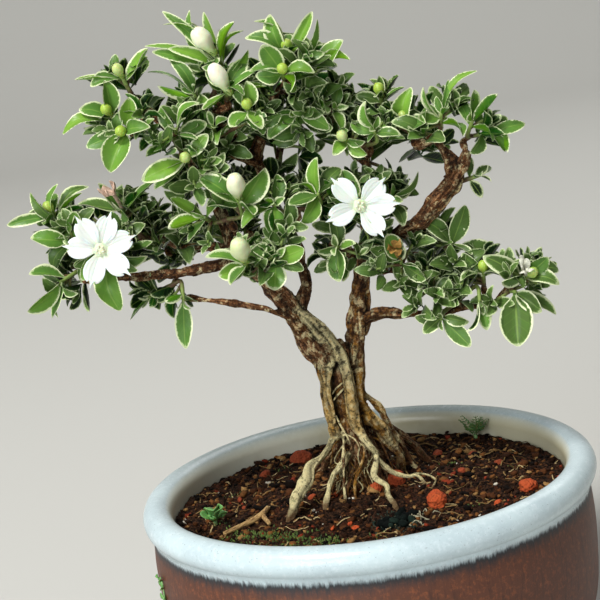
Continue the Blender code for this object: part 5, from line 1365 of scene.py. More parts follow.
def granule_skin(x, y, radius, number):
    """A lumpy clay granule: a ball whose radius swells with the sines of the CAD granule and with noise,
    with pits where folded noise is near zero."""
    way = ball_ways(np.linspace(0, math.pi, 26)[1:-1], 36)
    lump = 1 + 0.08 * np.sin(3 * way[..., 0] + x) + 0.08 * np.cos(4 * way[..., 1] + y)
    rough = 0.15 * layered(way * 1.7 + number * 7, 4, 5)
    pits = -0.06 * (1 - smooth_step(0.0, 0.2, np.abs(noise(way * 2.6 + number * 3, 8))))
    shape = way * (radius * (lump + rough + pits))[..., None]
    shape[..., 2] *= 0.85
    return ring_skins((shape + vec((x, y, cad_soil(x, y) + 0.35 * radius)))[None])


def moss_blades(centres, spread, number, length, tone, dark, soil, seed):
    """Tufts of moss: tiny three-cornered blades that lean out from each tuft's middle, each a closed
    spike."""
    chance = np.random.default_rng(seed)
    middles = np.repeat(vec(centres), number, axis=0)
    offset = chance.normal(0, spread, (len(middles), 2))
    foot = middles + offset
    inside = np.hypot(foot[:, 0], foot[:, 1]) < SOIL_EDGE - 0.4
    foot, offset = foot[inside], offset[inside]
    count = len(foot)
    lean = 0.35 * offset / spread + chance.normal(0, 0.35, (count, 2))
    way = unit(np.column_stack([lean, np.ones(count)]))
    reach = length * chance.uniform(0.5, 1.2, (count, 1))
    base = np.column_stack([foot, soil_level(foot, soil) - 0.25])
    u = across(chance.normal(0, 1, (count, 3)), way)
    ring = spokes(even_turns(3), u[:, None], np.cross(way, u)[:, None])
    ring = ring * 0.16 * chance.uniform(0.7, 1.4, (count, 1, 1))
    rings = np.stack([base[:, None] + ring, (base + way * reach * 0.6)[:, None] + ring * 1.1], 1)
    marks = np.zeros(rings.shape)
    marks[..., 0] = vec((0.1, 0.9))[:, None]
    marks[..., 1] = np.clip(tone + chance.uniform(-0.4, 0.4, count), 0, 1)[:, None, None]
    marks[..., 2] = dark
    return ring_skins(rings, base - way * 0.1, base + way * reach, {"moss_place": marks})


# Wood

def branch_routes():
    """Each branch's points in space, with their radii."""
    return {name: [(*seen(x, z, depth), radius) for x, z, depth, radius in route]
            for name, route in BRANCHES.items()}


def wood_samples(routes):
    """Points and radii close along all routes, to find the nearest wood from a place."""
    places = []
    radii = []
    for route in routes:
        route = vec(route)
        for a, b in zip(route[:-1], route[1:]):
            steps = max(2, int(np.linalg.norm(b[:3] - a[:3]) / 0.8))
            share = np.arange(steps + 1)[:, None] / steps
            run = a + (b - a) * share
            places.append(run[:, :3])
            radii.append(run[:, 3])
    return np.concatenate(places), np.concatenate(radii)


def head_parts(head):
    """A head's centre, the way it faces, and the foot of its shoot."""
    (x, z, depth), face = head[:2]
    centre = seen(x, z, depth)
    face = unit(vec(face))
    return centre, face, centre - face * SHOOT_LENGTH


def spray_seat(heads):
    """Where a spray's stem begins and the direction in which it leaves: the foot of a single head's shoot,
    or a little behind the middle of the feet of two."""
    feet = sum(head_parts(head)[2] for head in heads) / len(heads)
    lean = unit(sum(head_parts(head)[0] for head in heads) / len(heads) - feet)
    if len(heads) > 1:
        feet = feet - lean * STEM_KNEE
    return feet, lean


def twig_route(seat, lean, places, radii):
    """A twig from the nearest wood to just short of a spray's seat."""
    nearest = np.argmin(np.linalg.norm(places - seat, axis=1))
    start = places[nearest]
    end = seat - lean * GAP
    bend = end - lean * max(0.9, 0.35 * np.linalg.norm(end - start))
    thick = min(radii[nearest], 0.95)
    return [(*start, thick), (*bend, 0.5 * (thick + STEM_RADIUS) + 0.05), (*end, STEM_RADIUS + 0.05)]


def stem_routes(heads):
    """A spray's stems: the first from its seat, a second out of the first, each to a head's centre."""
    centre, foot = head_parts(heads[0])[::2]
    seat, lean = spray_seat(heads)
    if len(heads) == 1:
        return [[(*seat, STEM_RADIUS), (*(0.5 * (seat + centre)), 0.5), (*centre, 0.4)]]
    knee = seat + lean * STEM_KNEE
    routes = [[(*seat, STEM_RADIUS), (*knee, STEM_RADIUS), (*foot, 0.5), (*centre, 0.4)]]
    for head in heads[1:]:
        centre, foot = head_parts(head)[::2]
        routes.append([(*knee, 0.5), (*foot, 0.5), (*centre, 0.4)])
    return routes


def arc_length(samples):
    """The distance along a path at each of its points, summed from step to step."""
    return np.concatenate([[0], np.cumsum(np.linalg.norm(np.diff(samples[:, :3], axis=0), axis=1))])


def gnarled(samples, seed, depth=0.3, joints=0.0):
    """A route with wood's own unevenness: it wanders and swells with noise along its length, and thickens
    in rings at its old leaf joints by a power of a cosine."""
    arc = arc_length(samples)
    line = np.stack([arc * 0.16, 0 * arc + seed * 3.7, 0 * arc], -1)
    fade = np.minimum(1, np.minimum(arc, arc[-1] - arc) / 3)
    result = samples.copy()
    for axis in range(3):
        result[:, axis] += depth * samples[:, 3] * fade * noise(line, 40 + axis)
    result[:, 3] *= 0.96 + 0.12 * noise(line * 1.8, 50)
    rings = np.cos(2 * math.pi * (arc / 2.8 + 0.8 * noise(line * 2, 52)))
    result[:, 3] *= 1 + joints * np.clip(rings, 0, 1) ** 5
    return result


def ridges(samples, count, seed):
    """Ridges along a strand: thin strands laid on it, each at an angle that swings with the sine of the
    distance along it, and each a third as thick."""
    arc = arc_length(samples)
    u, v = path_frames(samples[:, :3])[1:]
    routes = []
    for k in range(count):
        turn = 2 * math.pi * (k + 0.3 * math.sin(seed)) / count + 0.9 * np.sin(0.16 * arc + 2 * k + seed)
        size = 0.36 + 0.1 * np.sin(0.5 * arc + 3 * k + seed)
        middle = samples[:, :3] + 0.8 * samples[:, 3:] * spokes(turn, u, v)
        routes.append(np.column_stack([middle, size * samples[:, 3]]))
    return routes


def stub_routes(samples, count, chance):
    """Stubs of old twigs: short spikes that stand out from random places on a branch, mostly forwards."""
    routes = []
    for k in range(count):
        pick = samples[int(len(samples) * chance.uniform(0.1, 0.85))]
        way = unit(vec([chance.gauss(0, 1), chance.gauss(-0.4, 0.8), chance.gauss(0.2, 0.8)]))
        end = pick[:3] + way * (pick[3] + chance.uniform(0.3, 1.3))
        routes.append(smooth_route([(*pick[:3], 0.55), (*end, 0.36)], 0.4))
    return routes


def wood_strands():
    """Every strand of the wood as samples of a route, with how cream and how golden its bark is."""
    stems = {name: gnarled(smooth_route(route), 60 + k, 0.4, 0.12 if route[0][3] < 1.4 else 0)
             for k, (name, route) in enumerate(branch_routes().items())}
    named = [("root_" + name, gnarled(smooth_route(route), k, 0.5))
             for k, (name, route) in enumerate(ROOTS.items())]
    named += [("strand_" + name, gnarled(smooth_route(route), 20 + k))
              for k, (name, route) in enumerate(STRANDS.items())]
    named += [("core", smooth_route(CORE))] + list(stems.items())
    places, radii = wood_samples(branch_routes().values())
    for k, heads in enumerate(SPRAYS.values()):
        route = twig_route(*spray_seat(heads), places, radii)
        named.append(("twig", gnarled(smooth_route(route, 0.5), 120 + k, 0.3, 0.2)))
    chance = random.Random(SEEDS["stubs"])
    strands = []
    for k, (name, samples) in enumerate(named):
        tone = vec(BARK_TONES.get(name, USUAL_TONE))
        strands.append((samples, tone))
        for side, ridge in enumerate(ridges(samples, RIDGES.get(name, 0), k)):
            strands.append((ridge, tone + ((0.22, 0.05) if side % 2 else (-0.16, -0.1))))
        for stub in stub_routes(samples, STUBS.get(name, 0), chance):
            strands.append((stub, tone))
    return strands


def fuse(strands, voxel):
    """All strands as one skin: their tubes are put in one mesh and remeshed on a grid of voxels."""
    skin = merged([swept(samples, 14) for samples in strands])

    def prepare(work):
        """Remesh the tubes as the outside of all the voxels that they touch."""
        remesh = work.modifiers.new("fuse", "REMESH")
        remesh.mode = "VOXEL"
        remesh.voxel_size = voxel

    mesh = evaluated_mesh(skin, prepare)
    points = read_values(mesh.vertices, "co")
    normals = read_values(mesh.vertices, "normal")
    corners = read_values(mesh.loops, "vertex_index", 1, np.int32)
    if len(corners) != 4 * len(mesh.polygons):
        raise RuntimeError("the voxel remesh gave faces that aren't four-cornered")
    bpy.data.meshes.remove(mesh)
    return Skin(points.reshape(-1, 3).astype(float), corners, []), normals.reshape(-1, 3).astype(float)


def smoothed(values, quads, passes):
    """Values at the points of a skin, averaged with those at the other ends of its edges, pass by pass."""
    one, two = quads.ravel(), np.roll(quads, -1, axis=1).ravel()
    number = len(values)
    ends = np.bincount(one, minlength=number) + np.bincount(two, minlength=number)
    for step in range(passes):
        near = np.bincount(one, values[two], number) + np.bincount(two, values[one], number)
        values = 0.5 * values + 0.5 * near / ends
    return values


def dress_wood(skin, normals, tones, strands, tree_settings):
    """Give fused wood its bark.

    Each point finds its nearest strand and the next nearest. Its grain is its place across that strand
    and, squeezed, along it. Noise of the grain raises streaks, noise of the place raises knuckles, and
    the wood sinks where two strands meet at an angle, by exp(-(gap between them) / 0.6). The tones of
    all strands are blended, each weighed by exp(-(how much farther off it is than the nearest) / 0.35).
    """
    gaps = []
    picks = []
    for samples in strands:
        square = (skin.points ** 2).sum(1)[:, None] + (samples[:, :3] ** 2).sum(1)[None]
        distance = np.sqrt(np.maximum(square - 2 * skin.points @ samples[:, :3].T, 0)) - samples[:, 3]
        pick = distance.argmin(1)
        picks.append(pick)
        gaps.append(distance[np.arange(len(pick)), pick])
    gaps = np.array(gaps)
    starts = np.cumsum([0] + [len(samples) for samples in strands])[:-1]
    picks = np.array(picks) + starts[:, None]
    frames = [path_frames(samples[:, :3]) for samples in strands]
    along, side, other = (np.concatenate(parts) for parts in zip(*frames))
    arcs = np.concatenate([arc_length(samples) for samples in strands])
    centres, radii = np.split(np.concatenate(strands), [3], axis=1)
    rows = np.arange(len(skin.points))
    first = gaps.argmin(0)
    nearest = gaps[first, rows]
    weight = np.exp((nearest - gaps) / 0.35)
    shares = (weight.T @ vec(tones)) / weight.sum(0)[:, None]
    gaps[first, rows] = 1e9
    second = gaps.argmin(0)
    apart = gaps[second, rows] - nearest
    one = picks[first, rows]
    two = picks[second, rows]
    out = skin.points - centres[one]
    lean = 1 - dot(unit(out), unit(skin.points - centres[two]))[:, 0]
    stout = np.clip(radii[one, 0] / 1.3, 0.25, 1)
    # Painted shade: the share that sinks the wood where strands meet also darkens its bark there
    groove_shade = np.exp(-np.maximum(apart, 0) / 0.6) * smooth_step(0.1, 0.6, lean) * stout
    arc = arcs[one] + dot(out, along[one])[:, 0]
    grain = np.column_stack([dot(out, side[one]), dot(out, other[one]), 0.17 * arc]) + 9.3 * first[:, None]
    streaks = layered(grain * 1.1, 3, 61)
    knuckles = layered(skin.points * 0.34, 3, 71)
    relief = tree_settings.fissure / MM * streaks + tree_settings.knuckle / MM * knuckles
    lift = stout * relief - 0.5 * groove_shade
    skin.points = skin.points + normals * smoothed(lift, skin.quads, 2)[:, None]
    skin.marks["grain"] = grain
    skin.marks["bark_tone"] = np.stack([shares[:, 0], np.clip(1.3 * groove_shade, 0, 0.95), shares[:, 1]], -1)
    return skin


def fine_roots():
    """Fine roots between the trunk and the soil: wandering routes from the trunk's foot outwards and down,
    each with its bark's cream, groove and gold."""
    chance = np.random.default_rng(SEEDS["fine roots"])
    kinds = ((-0.1, 0.45, 0), (0.05, 0.1, 0.5), (0.75, 0, 0.1))
    shares = vec([0.25, 0.5, 0.75])[:, None]
    routes = []
    tones = []
    for k in range(FINE_ROOTS):
        turn = -math.pi * chance.uniform(0.02, 0.98) if k < FRONT_ROOTS else math.pi * chance.uniform(0, 1)
        start = vec((FOOT_MIDDLE[0] + FOOT_RADII[0] * math.cos(turn),
                     FOOT_MIDDLE[1] + FOOT_RADII[1] * math.sin(turn), chance.uniform(43, 54.5)))
        swing = turn + chance.uniform(-1, 1)
        reach = chance.uniform(1, 9) * chance.uniform(0.4, 1)
        x, y = start[0] + reach * math.cos(swing), start[1] + reach * math.sin(swing)
        end = vec((x, y, cad_soil(x, y) - 0.4))
        middles = start + (end - start) * shares + chance.normal(0, 1, (3, 3)) * (0.9, 0.9, 0.7)
        radius = chance.uniform(0.07, 0.19) * vec([1.3, 1, 1, 0.9, 0.7])
        routes.append(np.column_stack([np.vstack([start, middles, end]), radius]))
        tones.append(kinds[chance.choice(3, p=(0.5, 0.32, 0.18))])
    return routes, tones


# Leaves

def leaf_outline(share):
    """Half a leaf's width against its length: an ellipse from a tenth of the way, drawn out a little at the
    tip, with a narrow stalk before it."""
    ellipse = np.clip(1 - ((share - 0.55) / 0.4525) ** 2, 0, 1) ** 0.62
    return np.maximum(ellipse, 0.11)


def round_outline(share):
    """Half the width of a round weed leaf: a circle on a narrow stalk."""
    circle = np.clip(1 - ((share - 0.68) / 0.322) ** 2, 0, 1) ** 0.5
    return np.maximum(circle, 0.09)


def leaf_grids(base, tip, width, facing, rows, columns, chance, outline=leaf_outline):
    """Leaves as grids of points: s runs along the middle line and u from margin to margin.

    The middle line arches by sin(pi s^1.3), so that its tip bends down; the blade folds up from the
    midrib by a share of |u| and twists slowly, and its margins are wavy.
    """
    number = len(base)
    length = np.linalg.norm(tip - base, axis=1)
    along = unit(tip - base)
    up = across(facing, along)
    side = np.cross(along, up)
    s = (0.5 - 0.5 * np.cos(math.pi * np.linspace(0, 1, rows)))[None, :, None]
    u = np.linspace(-1, 1, columns)[None, None, :]
    half = 0.5 * width[:, None, None] * outline(s)
    fold = chance.uniform(0.2, 0.75, (number, 1, 1))
    arch = chance.uniform(-0.03, 0.27, (number, 1, 1))
    twist = chance.uniform(-0.9, 0.9, (number, 1, 1)) * s
    wave = chance.uniform(0, 6.28, (number, 1, 1))
    size = length[:, None, None]
    rise = (arch * size - 0.3) * np.sin(math.pi * s ** 1.3)
    ruffle = 0.05 * half * np.sin(9 * s + wave) * u ** 2
    lift = fold * half * np.abs(u) ** 1.3 + ruffle
    x = u * half
    sideways = x * np.cos(twist) - lift * np.sin(twist)
    upwards = rise + x * np.sin(twist) + lift * np.cos(twist)
    forwards = size * s + 0 * u
    grid = (base[:, None, None] + along[:, None, None] * forwards[..., None]
            + side[:, None, None] * sideways[..., None] + up[:, None, None] * upwards[..., None])
    edge = np.minimum((1 - np.abs(u)) * half, (1 - s) * size * 0.6) + 0.6 * np.clip(1 - s / 0.14, 0, 1)
    place = np.stack(np.broadcast_arrays(u, s, edge), -1)
    return grid, place


def rosette(centre, face, size, pairs, topped, chance, ratio, widest=78):
    """Pairs of leaves by rule, each pair crosswise to the last, opening wider the lower it sits."""
    side = across(vec((1, 0.2, 0.3)), face)
    start = chance.uniform(0, 360)
    rows = pairs + (1 if topped else 0)
    plans = []
    for row in range(rows):
        open_angle = (widest - 12 * row) * chance.uniform(0.9, 1.1)
        base = centre - face * (0.45 + PAIR_SPACING * (rows - 1 - row))
        length = size * (1.05 - 0.17 * row) * chance.uniform(0.85, 1.15)
        if row == pairs:
            open_angle = 38
            length = 0.55 * size
        for half in (0, 180):
            swing = start + 90 * row + half + chance.uniform(-14, 14)
            way = turned(face, side, open_angle + chance.uniform(-8, 8))
            way = turned(way, face, swing)
            plans.append((base, base + way * length, ratio * length, face))
    return plans


def spray_plans(number, name, heads, ratio):
    """A spray's listed leaves, and the leaves that its rule adds, as in the CAD."""
    chance = random.Random(SEEDS["ruled leaves"] + number)
    marked = []
    ruled = []
    for place, ((x, z, depth), facing, size, pairs, crown, marks) in enumerate(heads):
        centre = seen(x, z, depth)
        face = unit(vec(facing))
        for k, (tip_x, tip_z, forward, width) in enumerate(marks + EXTRA_LEAVES.get((name, place), [])):
            back = 0.7 + 0.7 * min(k, 4)
            marked.append((centre - face * back, seen(tip_x, tip_z, depth - forward), width, face))
        ruled += rosette(centre, face, size, pairs, crown == "" and len(marks) < 3, chance, ratio)
    return marked, ruled


def side_shoots(number, name, heads, leaf):
    """Small shoots beside a spray's heads: route of the stem, facing, leaf size and pairs of leaves."""
    chance = random.Random(SEEDS["side shoots"] + number)
    shoots = []
    for head in heads:
        centre, face = head_parts(head)[:2]
        for k in range(SHOOT_COUNTS.get(name, leaf.side_shoots)):
            away = across(vec([chance.gauss(0, 1) for axis in range(3)]) + vec((0, 0.9, 0)), face)
            start = centre - face * SHOOT_LENGTH * chance.uniform(0.4, 0.95)
            end = start + away * chance.uniform(3.6, 6.2) + face * chance.uniform(-0.5, 2.8)
            facing = unit(face + away * 0.7 + vec((0, 0, 0.4)))
            shoots.append(([start, 0.5 * (start + end) + face * 0.5, end], facing, chance.uniform(5, 7.6),
                           chance.choice((2, 2, 3))))
    return shoots


def branch_shoots(leaf):
    """Small shoots along the branches' outer parts, each allotted to the nearest spray."""
    chance = random.Random(SEEDS["branch shoots"])
    names = list(SPRAYS)
    middles = vec([head_parts(heads[0])[0] for heads in SPRAYS.values()])
    shoots = {name: [] for name in names}
    for name, route in branch_routes().items():
        samples = smooth_route(route, 1.0)
        if name in BARE_BRANCHES:
            continue
        for k in range(leaf.branch_shoots):
            pick = samples[int(len(samples) * chance.uniform(0.45, 0.98))]
            if pick[2] < LOWEST_SHOOT:
                continue
            way = unit(vec([chance.gauss(0, 1), chance.gauss(0.35, 1), chance.gauss(0.5, 0.8)]))
            end = pick[:3] + way * chance.uniform(4.5, 8)
            near = np.argmin(np.linalg.norm(middles - end, axis=1))
            shoots[names[near]].append(([pick[:3], 0.5 * (pick[:3] + end) + vec((0, 0, 0.5)), end],
                                        unit(way + vec((0, -0.1, 0.9))), chance.uniform(5, 7.4), 2))
    return shoots


def planned_shoots(leaf):
    """All small shoots by spray: those beside its heads and those along the branches near it."""
    near = branch_shoots(leaf)
    return {name: side_shoots(number, name, heads, leaf) + near[name]
            for number, (name, heads) in enumerate(SPRAYS.items())}


def leaf_batch(plans, shape, leaf, chance, inner):
    """Closed leaf blades for a list of plans, painted light high up and painted shade on inner leaves."""
    base, tip, width, facing = (vec(part) for part in zip(*plans))
    number = len(plans)
    # Each blade is turned a little about its own length
    facing = unit(facing + chance.normal(0, 0.42, (number, 3)))
    grid, place = leaf_grids(base, tip, width, facing, *shape, chance)
    # Painted light and shade: tips high up and at the front are brightened, inner leaves and low ones at
    # the right darkened
    high = 0.3 * smooth_step(88, 146, tip[:, 2]) + 0.4 * smooth_step(8, -14, tip[:, 1])
    shade = 0.65 * inner + 0.42 * smooth_step(4, 26, tip[:, 0]) * smooth_step(122, 104, tip[:, 2])
    young = np.clip(0.08 + high - shade + chance.uniform(-0.3, 0.46, number), 0, 1)
    # Painted shade: inner leaves get narrower cream margins
    breadth = leaf.margin / MM * (1 - 0.45 * inner) * chance.uniform(0.4, 1.6, number)
    tone = np.stack([young, inner * chance.uniform(0.6, 1, number), breadth], -1)
    tones = np.broadcast_to(tone[:, None, None], place.shape)
    u, s = place[..., 0], place[..., 1]
    thickness = leaf.thickness / MM * (1 - 0.6 * u ** 2) * (0.4 + 0.6 * np.sin(math.pi * s))
    return lens_sheets(grid, thickness, {"leaf_place": place, "leaf_tone": tones})


def spray_skin(number, name, heads, shoots, leaf):
    """All leaves of one spray: the listed ones finer, the rest with few faces."""
    chance = np.random.default_rng(SEEDS["blades"] + number)
    marked, ruled = spray_plans(number, name, heads, leaf.width_ratio)
    pick = random.Random(SEEDS["shoot leaves"] + number)
    extra = []
    for route, face, size, pairs in shoots:
        extra += rosette(route[-1], face, size, pairs, True, pick, leaf.width_ratio, 56)
    skins = []
    if marked:
        skins.append(leaf_batch(marked, MARKED_GRID, leaf, chance, 0))
    skins.append(leaf_batch(ruled, RULED_GRID, leaf, chance, 0.3))
    if extra:
        skins.append(leaf_batch(extra, SHOOT_GRID, leaf, chance, 0.8))
    return merged(skins)


# Flowers

def bud_skin(start, face, length, width, corners, rings, tone, ribs):
    """A plump bud on a slim foot: a smooth curve through the outline's points turned round its axis, with
    five shallow folds that twist round it."""
    s = 0.5 - 0.5 * np.cos(math.pi * np.linspace(0.06, 0.97, rings))
    curve = flat_curve(BUD_OUTLINE, 0.02)
    radius = 0.5 * width * np.interp(s, curve[:, 1], curve[:, 0])
    angle = even_turns(corners)
    fold = 1 + ribs * np.cos(5 * angle[None] + 2.2 * s[:, None])
    out = (radius[:, None] * fold)[..., None] * spokes(angle, *side_axes((1, 0.1, 0.2), face))
    grid = (start + face * length * s[:, None])[:, None] + out
    place = np.zeros(grid.shape)
    place[..., 0] = s[:, None]
    place[..., 1] = tone
    return ring_skins(grid[None], start, start + face * length, {"bud_place": place[None]})


def calyx_skin(start, face, radius, length, count=5):
    """Small green sepals that clasp a bud: narrow blades from its foot, spread to its side."""
    out = spokes(even_turns(count) + 0.4, *side_axes((1, 0.1, 0.2), face))
    base = start + out * 0.25 * radius - face * 0.3
    tip = start + out * 1.15 * radius + face * length
    width = np.full(count, 0.28 * length + 0.5)
    grid, place = leaf_grids(base, tip, width, out, 6, 3, np.random.default_rng(SEEDS["sepals"]))
    return lens_sheets(grid, 0.2, {"bud_place": np.broadcast_to(vec((0, 0, 1)), place.shape)})


def petal_skins(throat, face, angles, length, width, chance):
    """Petals round a throat: s runs outwards and u across.

    Half the width follows s to a broad end with three teeth, whose length is a cosine of u; each petal
    has a shallow crease along its middle, ruffled margins and a tip that curls by s squared.
    """
    out = spokes(np.radians(vec(angles)), *side_axes((1, 0, 0), face))
    side = np.cross(face, out)
    number = len(angles)
    s = np.linspace(0, 1, 14)[None, :, None]
    u = np.linspace(-1, 1, 13)[None, None, :]
    half = 0.5 * width * np.interp(s, PETAL_SHARES, PETAL_WIDTHS)
    # Three teeth at the end, the middle one longest
    lobes = 1 + s ** 6 * (0.07 * np.cos(2 * math.pi * u) - 0.17 * np.abs(u) + 0.03)
    reach = (length + 0.2) * s * lobes * chance.uniform(0.94, 1.05, (number, 1, 1))
    phase = chance.uniform(0, 6.28, (number, 1, 1))
    curl = chance.uniform(-0.5, 1.1, (number, 1, 1))
    ruffle = 0.38 * s ** 2 * np.abs(u) ** 1.5 * np.sin(6 * s + 2 * u + phase)
    crease = -0.3 * np.exp(-(u / 0.25) ** 2) * np.sin(math.pi * s)
    cup = 0.45 * np.abs(u) ** 2 * np.sin(math.pi * s)
    rise = -0.9 + 1.5 * s ** 0.6 - curl * s ** 2 * 0.9 + ruffle + crease + cup
    grid = (throat + face * rise[..., None] + out[:, None, None] * (0.3 + reach)[..., None]
            + side[:, None, None] * (u * half)[..., None])
    place = np.stack(np.broadcast_arrays(u, s, half, rise)[:3], -1)
    return lens_sheets(grid, 0.22, {"leaf_place": place})


def bloom_skin(name, head, flower):
    """An open bloom: a slim tube that widens to its throat, petals, and the tips of five stamens."""
    angles, length = BLOOMS[name]
    centre, face = head_parts(head)[:2]
    chance = np.random.default_rng(len(name))
    start = centre + face * GAP
    throat = start + face * BLOOM_TUBE
    shares = np.linspace(0, 0.93, 12)
    radius = 0.62 + 0.25 * shares + 0.95 * shares ** 4
    tube = swept(np.column_stack([start + face * BLOOM_TUBE * shares[:, None], radius]), 16)
    tube.paint("leaf_place", (0, 0.1, 1))
    u, v = side_axes((1, 0, 0), face)
    tips = throat + 0.75 * spokes(even_turns(5) + 0.6, u, -v) + face * 0.35
    stamens = lump_skins(tips, np.full(5, 0.3), 1.3, chance, rough=0.1)
    stamens.paint("leaf_place", (0, 0.18, 1))
    petals = petal_skins(throat, face, angles, length, flower.petal_width / MM, chance)
    return merged([tube, petals, stamens])


def wilted_skin(foot, centre, face, length, colour, seed):
    """A wilted flower: petals that curl in, on the thin tube that joins them to their head."""
    chance = np.random.default_rng(seed)
    own = palette(colour)[0]
    route = [(*foot, 0.35), (*(0.5 * (foot + centre) - face * 0.3), 0.4), (*centre, 0.5)]
    tube = swept(smooth_route(route, 0.5), 8)
    tube.paint("crumb_colour", 0.8 * own)
    number = 5
    out = spokes(even_turns(number) + chance.uniform(0, 1, number), *side_axes((1, 0.2, 0), face))
    tip = centre + face * length * chance.uniform(0.5, 1, (number, 1))
    tip = tip + out * length * chance.uniform(0.2, 0.7, (number, 1))
    base = np.broadcast_to(centre, tip.shape)
    grid = leaf_grids(base, tip, length * chance.uniform(0.4, 0.6, number), out, 9, 5, chance)[0]
    grid = grid + 0.35 * np.stack([noise(grid * 0.8, seed + k) for k in range(3)], -1)
    return merged([tube, lens_sheets(grid, 0.25, {"crumb_colour": np.broadcast_to(own, grid.shape)})])


# Small greens

def liverwort_skin(soil):
    """A clump of old liverwort: near-black lumps heaped by a normal spread, and a few dry pale threads that
    bend with t squared beside it."""
    chance = np.random.default_rng(SEEDS["liverwort"])
    number = 46
    spots = vec(LIVERWORT) + chance.normal(0, 1, (number, 2)) * (2.4, 1.7)
    size = chance.uniform(0.5, 1.25, number)
    centres = np.column_stack([spots, soil_level(spots, soil) + 0.5 * size])
    tone = palette("#070c0b", "#0f1815", "#1e2d26")[chance.choice(3, number, p=(0.5, 0.35, 0.15))]
    skins = [lump_skins(centres, size, 0.75, chance, 8, 5, 0.25, {"crumb_colour": tone})]
    t = np.linspace(0, 1, 7)[:, None]
    for k in range(16):
        start = vec(DRY_THREADS) + chance.normal(0, 1, 2) * (1.7, 1.5)
        way = unit(chance.normal(0, 1, 2))
        flat = start + way * 2.6 * t + chance.normal(0, 0.8, 2) * t ** 2
        lift = 0.2 + 0.8 * np.sin(math.pi * t[:, 0]) * chance.uniform(0, 1)
        thread = swept(np.column_stack([flat, soil_level(flat, soil) + lift, 0.13 * (1.2 - 0.6 * t)]), 5)
        thread.paint("crumb_colour", palette("#b4ae92")[0])
        skins.append(thread)
    return merged(skins)


def weed_skin(name, place):
    """A weed: a short stem and leaves that spread from its crown by the golden angle, as in the CAD; the
    front one's are round, the rear one's are split into leaflets."""
    x, y, count, length, lean = place
    front = name == "weed_front"
    # The rear weed is drawn out beyond the CAD's short leaves
    length *= 1 if front else 1.55
    top = cad_soil(x, y)
    chance = np.random.default_rng(count)
    skins = [swept(smooth_route([(x, y, top - 4, 0.5), (x, y, top, 0.5), (x, y, top + 1.6, 0.45)]), 8)]
    crown = vec((x, y, top + 1.1))
    k = np.arange(count + (10 if front else 2))
    rise = 0.35 + (1 - lean) * 1.6 + 0.35 * (k % 3) + np.where(k > count, 0.8, 0)
    way = unit(np.column_stack([np.cos(2.4 * k), np.sin(2.4 * k), rise]))
    reach = length * (0.8 + 0.12 * (k % 3)) * np.where(k < count, 1, 0.62)
    tip = crown + way * reach[:, None]
    if front:
        grid, mark = leaf_grids(np.broadcast_to(crown, tip.shape), tip, 0.7 * reach, vec((0, 0, 1)), 10, 7,
                                chance, round_outline)
        return merged(skins + [lens_sheets(grid, 0.25, {"leaf_place": mark})])
    share = np.repeat(np.linspace(0.3, 0.92, 6), 2)
    swing = np.tile((-1.0, 1.0), 6)
    for centre_way, size in zip(way, reach):
        up = across(vec((0, 0, 1)), centre_way)
        flat = np.cross(centre_way, up)
        base = crown + centre_way * (size * share)[:, None]
        spread = 0.34 * size * (1.15 - share)
        ends = base + flat * (swing * spread)[:, None] + centre_way * (0.6 * spread)[:, None]
        ends = np.vstack([ends, crown + centre_way * size])
        base = np.vstack([base, crown])
        grid, mark = leaf_grids(base, ends, np.append(0.42 * spread, 0.35), up, 6, 3, chance)
        skins.append(lens_sheets(grid, 0.18, {"leaf_place": mark}))
    return merged(skins)


def rootlet_skin():
    """The dry rootlet: a bent run with a short leg, its tube shrunk and swollen by noise."""
    route = [(x, y, cad_soil(x, y) + 1.3, radius) for x, y, radius in DEAD_ROOTLET]
    x, y, z, radius = route[2]
    leg = [(x, y, z, 0.6), (x + 0.9, y - 3, z - 0.4, 0.5),
           (x + 1.4, y - 6, cad_soil(x + 1.4, y - 6) + 1, 0.45)]
    skins = []
    for k, path in enumerate((route, leg)):
        samples = gnarled(smooth_route(path, 0.35), 80 + k, 0.5)
        skin = swept(samples, 10)
        rows = tube_rows(samples, 10)
        out = skin.points - samples[rows, :3]
        skin.marks["grain"] = np.column_stack([out[:, 0], out[:, 2], 0.2 * arc_length(samples)[rows]])
        skins.append(skin)
    return merged(skins)


def sprig_skin():
    """A small green sprig that clings to the pot's wall at the front left: leaflets up a thin stem."""
    heights = vec(SPRIG_HEIGHTS)
    turn = math.radians(SPRIG_TURN)
    out = vec((math.cos(turn), math.sin(turn), 0))
    flat = vec((-math.sin(turn), math.cos(turn), 0))
    bend = vec([0.3, -0.2, 0.2, 0])
    places = np.column_stack([SPRIG_WALL * out[0] + 0 * bend, SPRIG_WALL * out[1] + bend, heights])
    stem = swept(np.column_stack([places, 0.22 + 0 * heights]), 6)
    base = np.repeat(places, 2, axis=0)
    sign = np.tile((-1.0, 1.0), len(places))[:, None]
    tip = base + flat * sign * 1.8 + vec((0, 0, 1.2)) + out * 0.5
    chance = np.random.default_rng(SEEDS["sprig"])
    grid, mark = leaf_grids(base, tip, np.full(len(tip), 1.2), out, 7, 5, chance)
    return merged([stem, lens_sheets(grid, 0.2, {"leaf_place": mark})])


# Operators

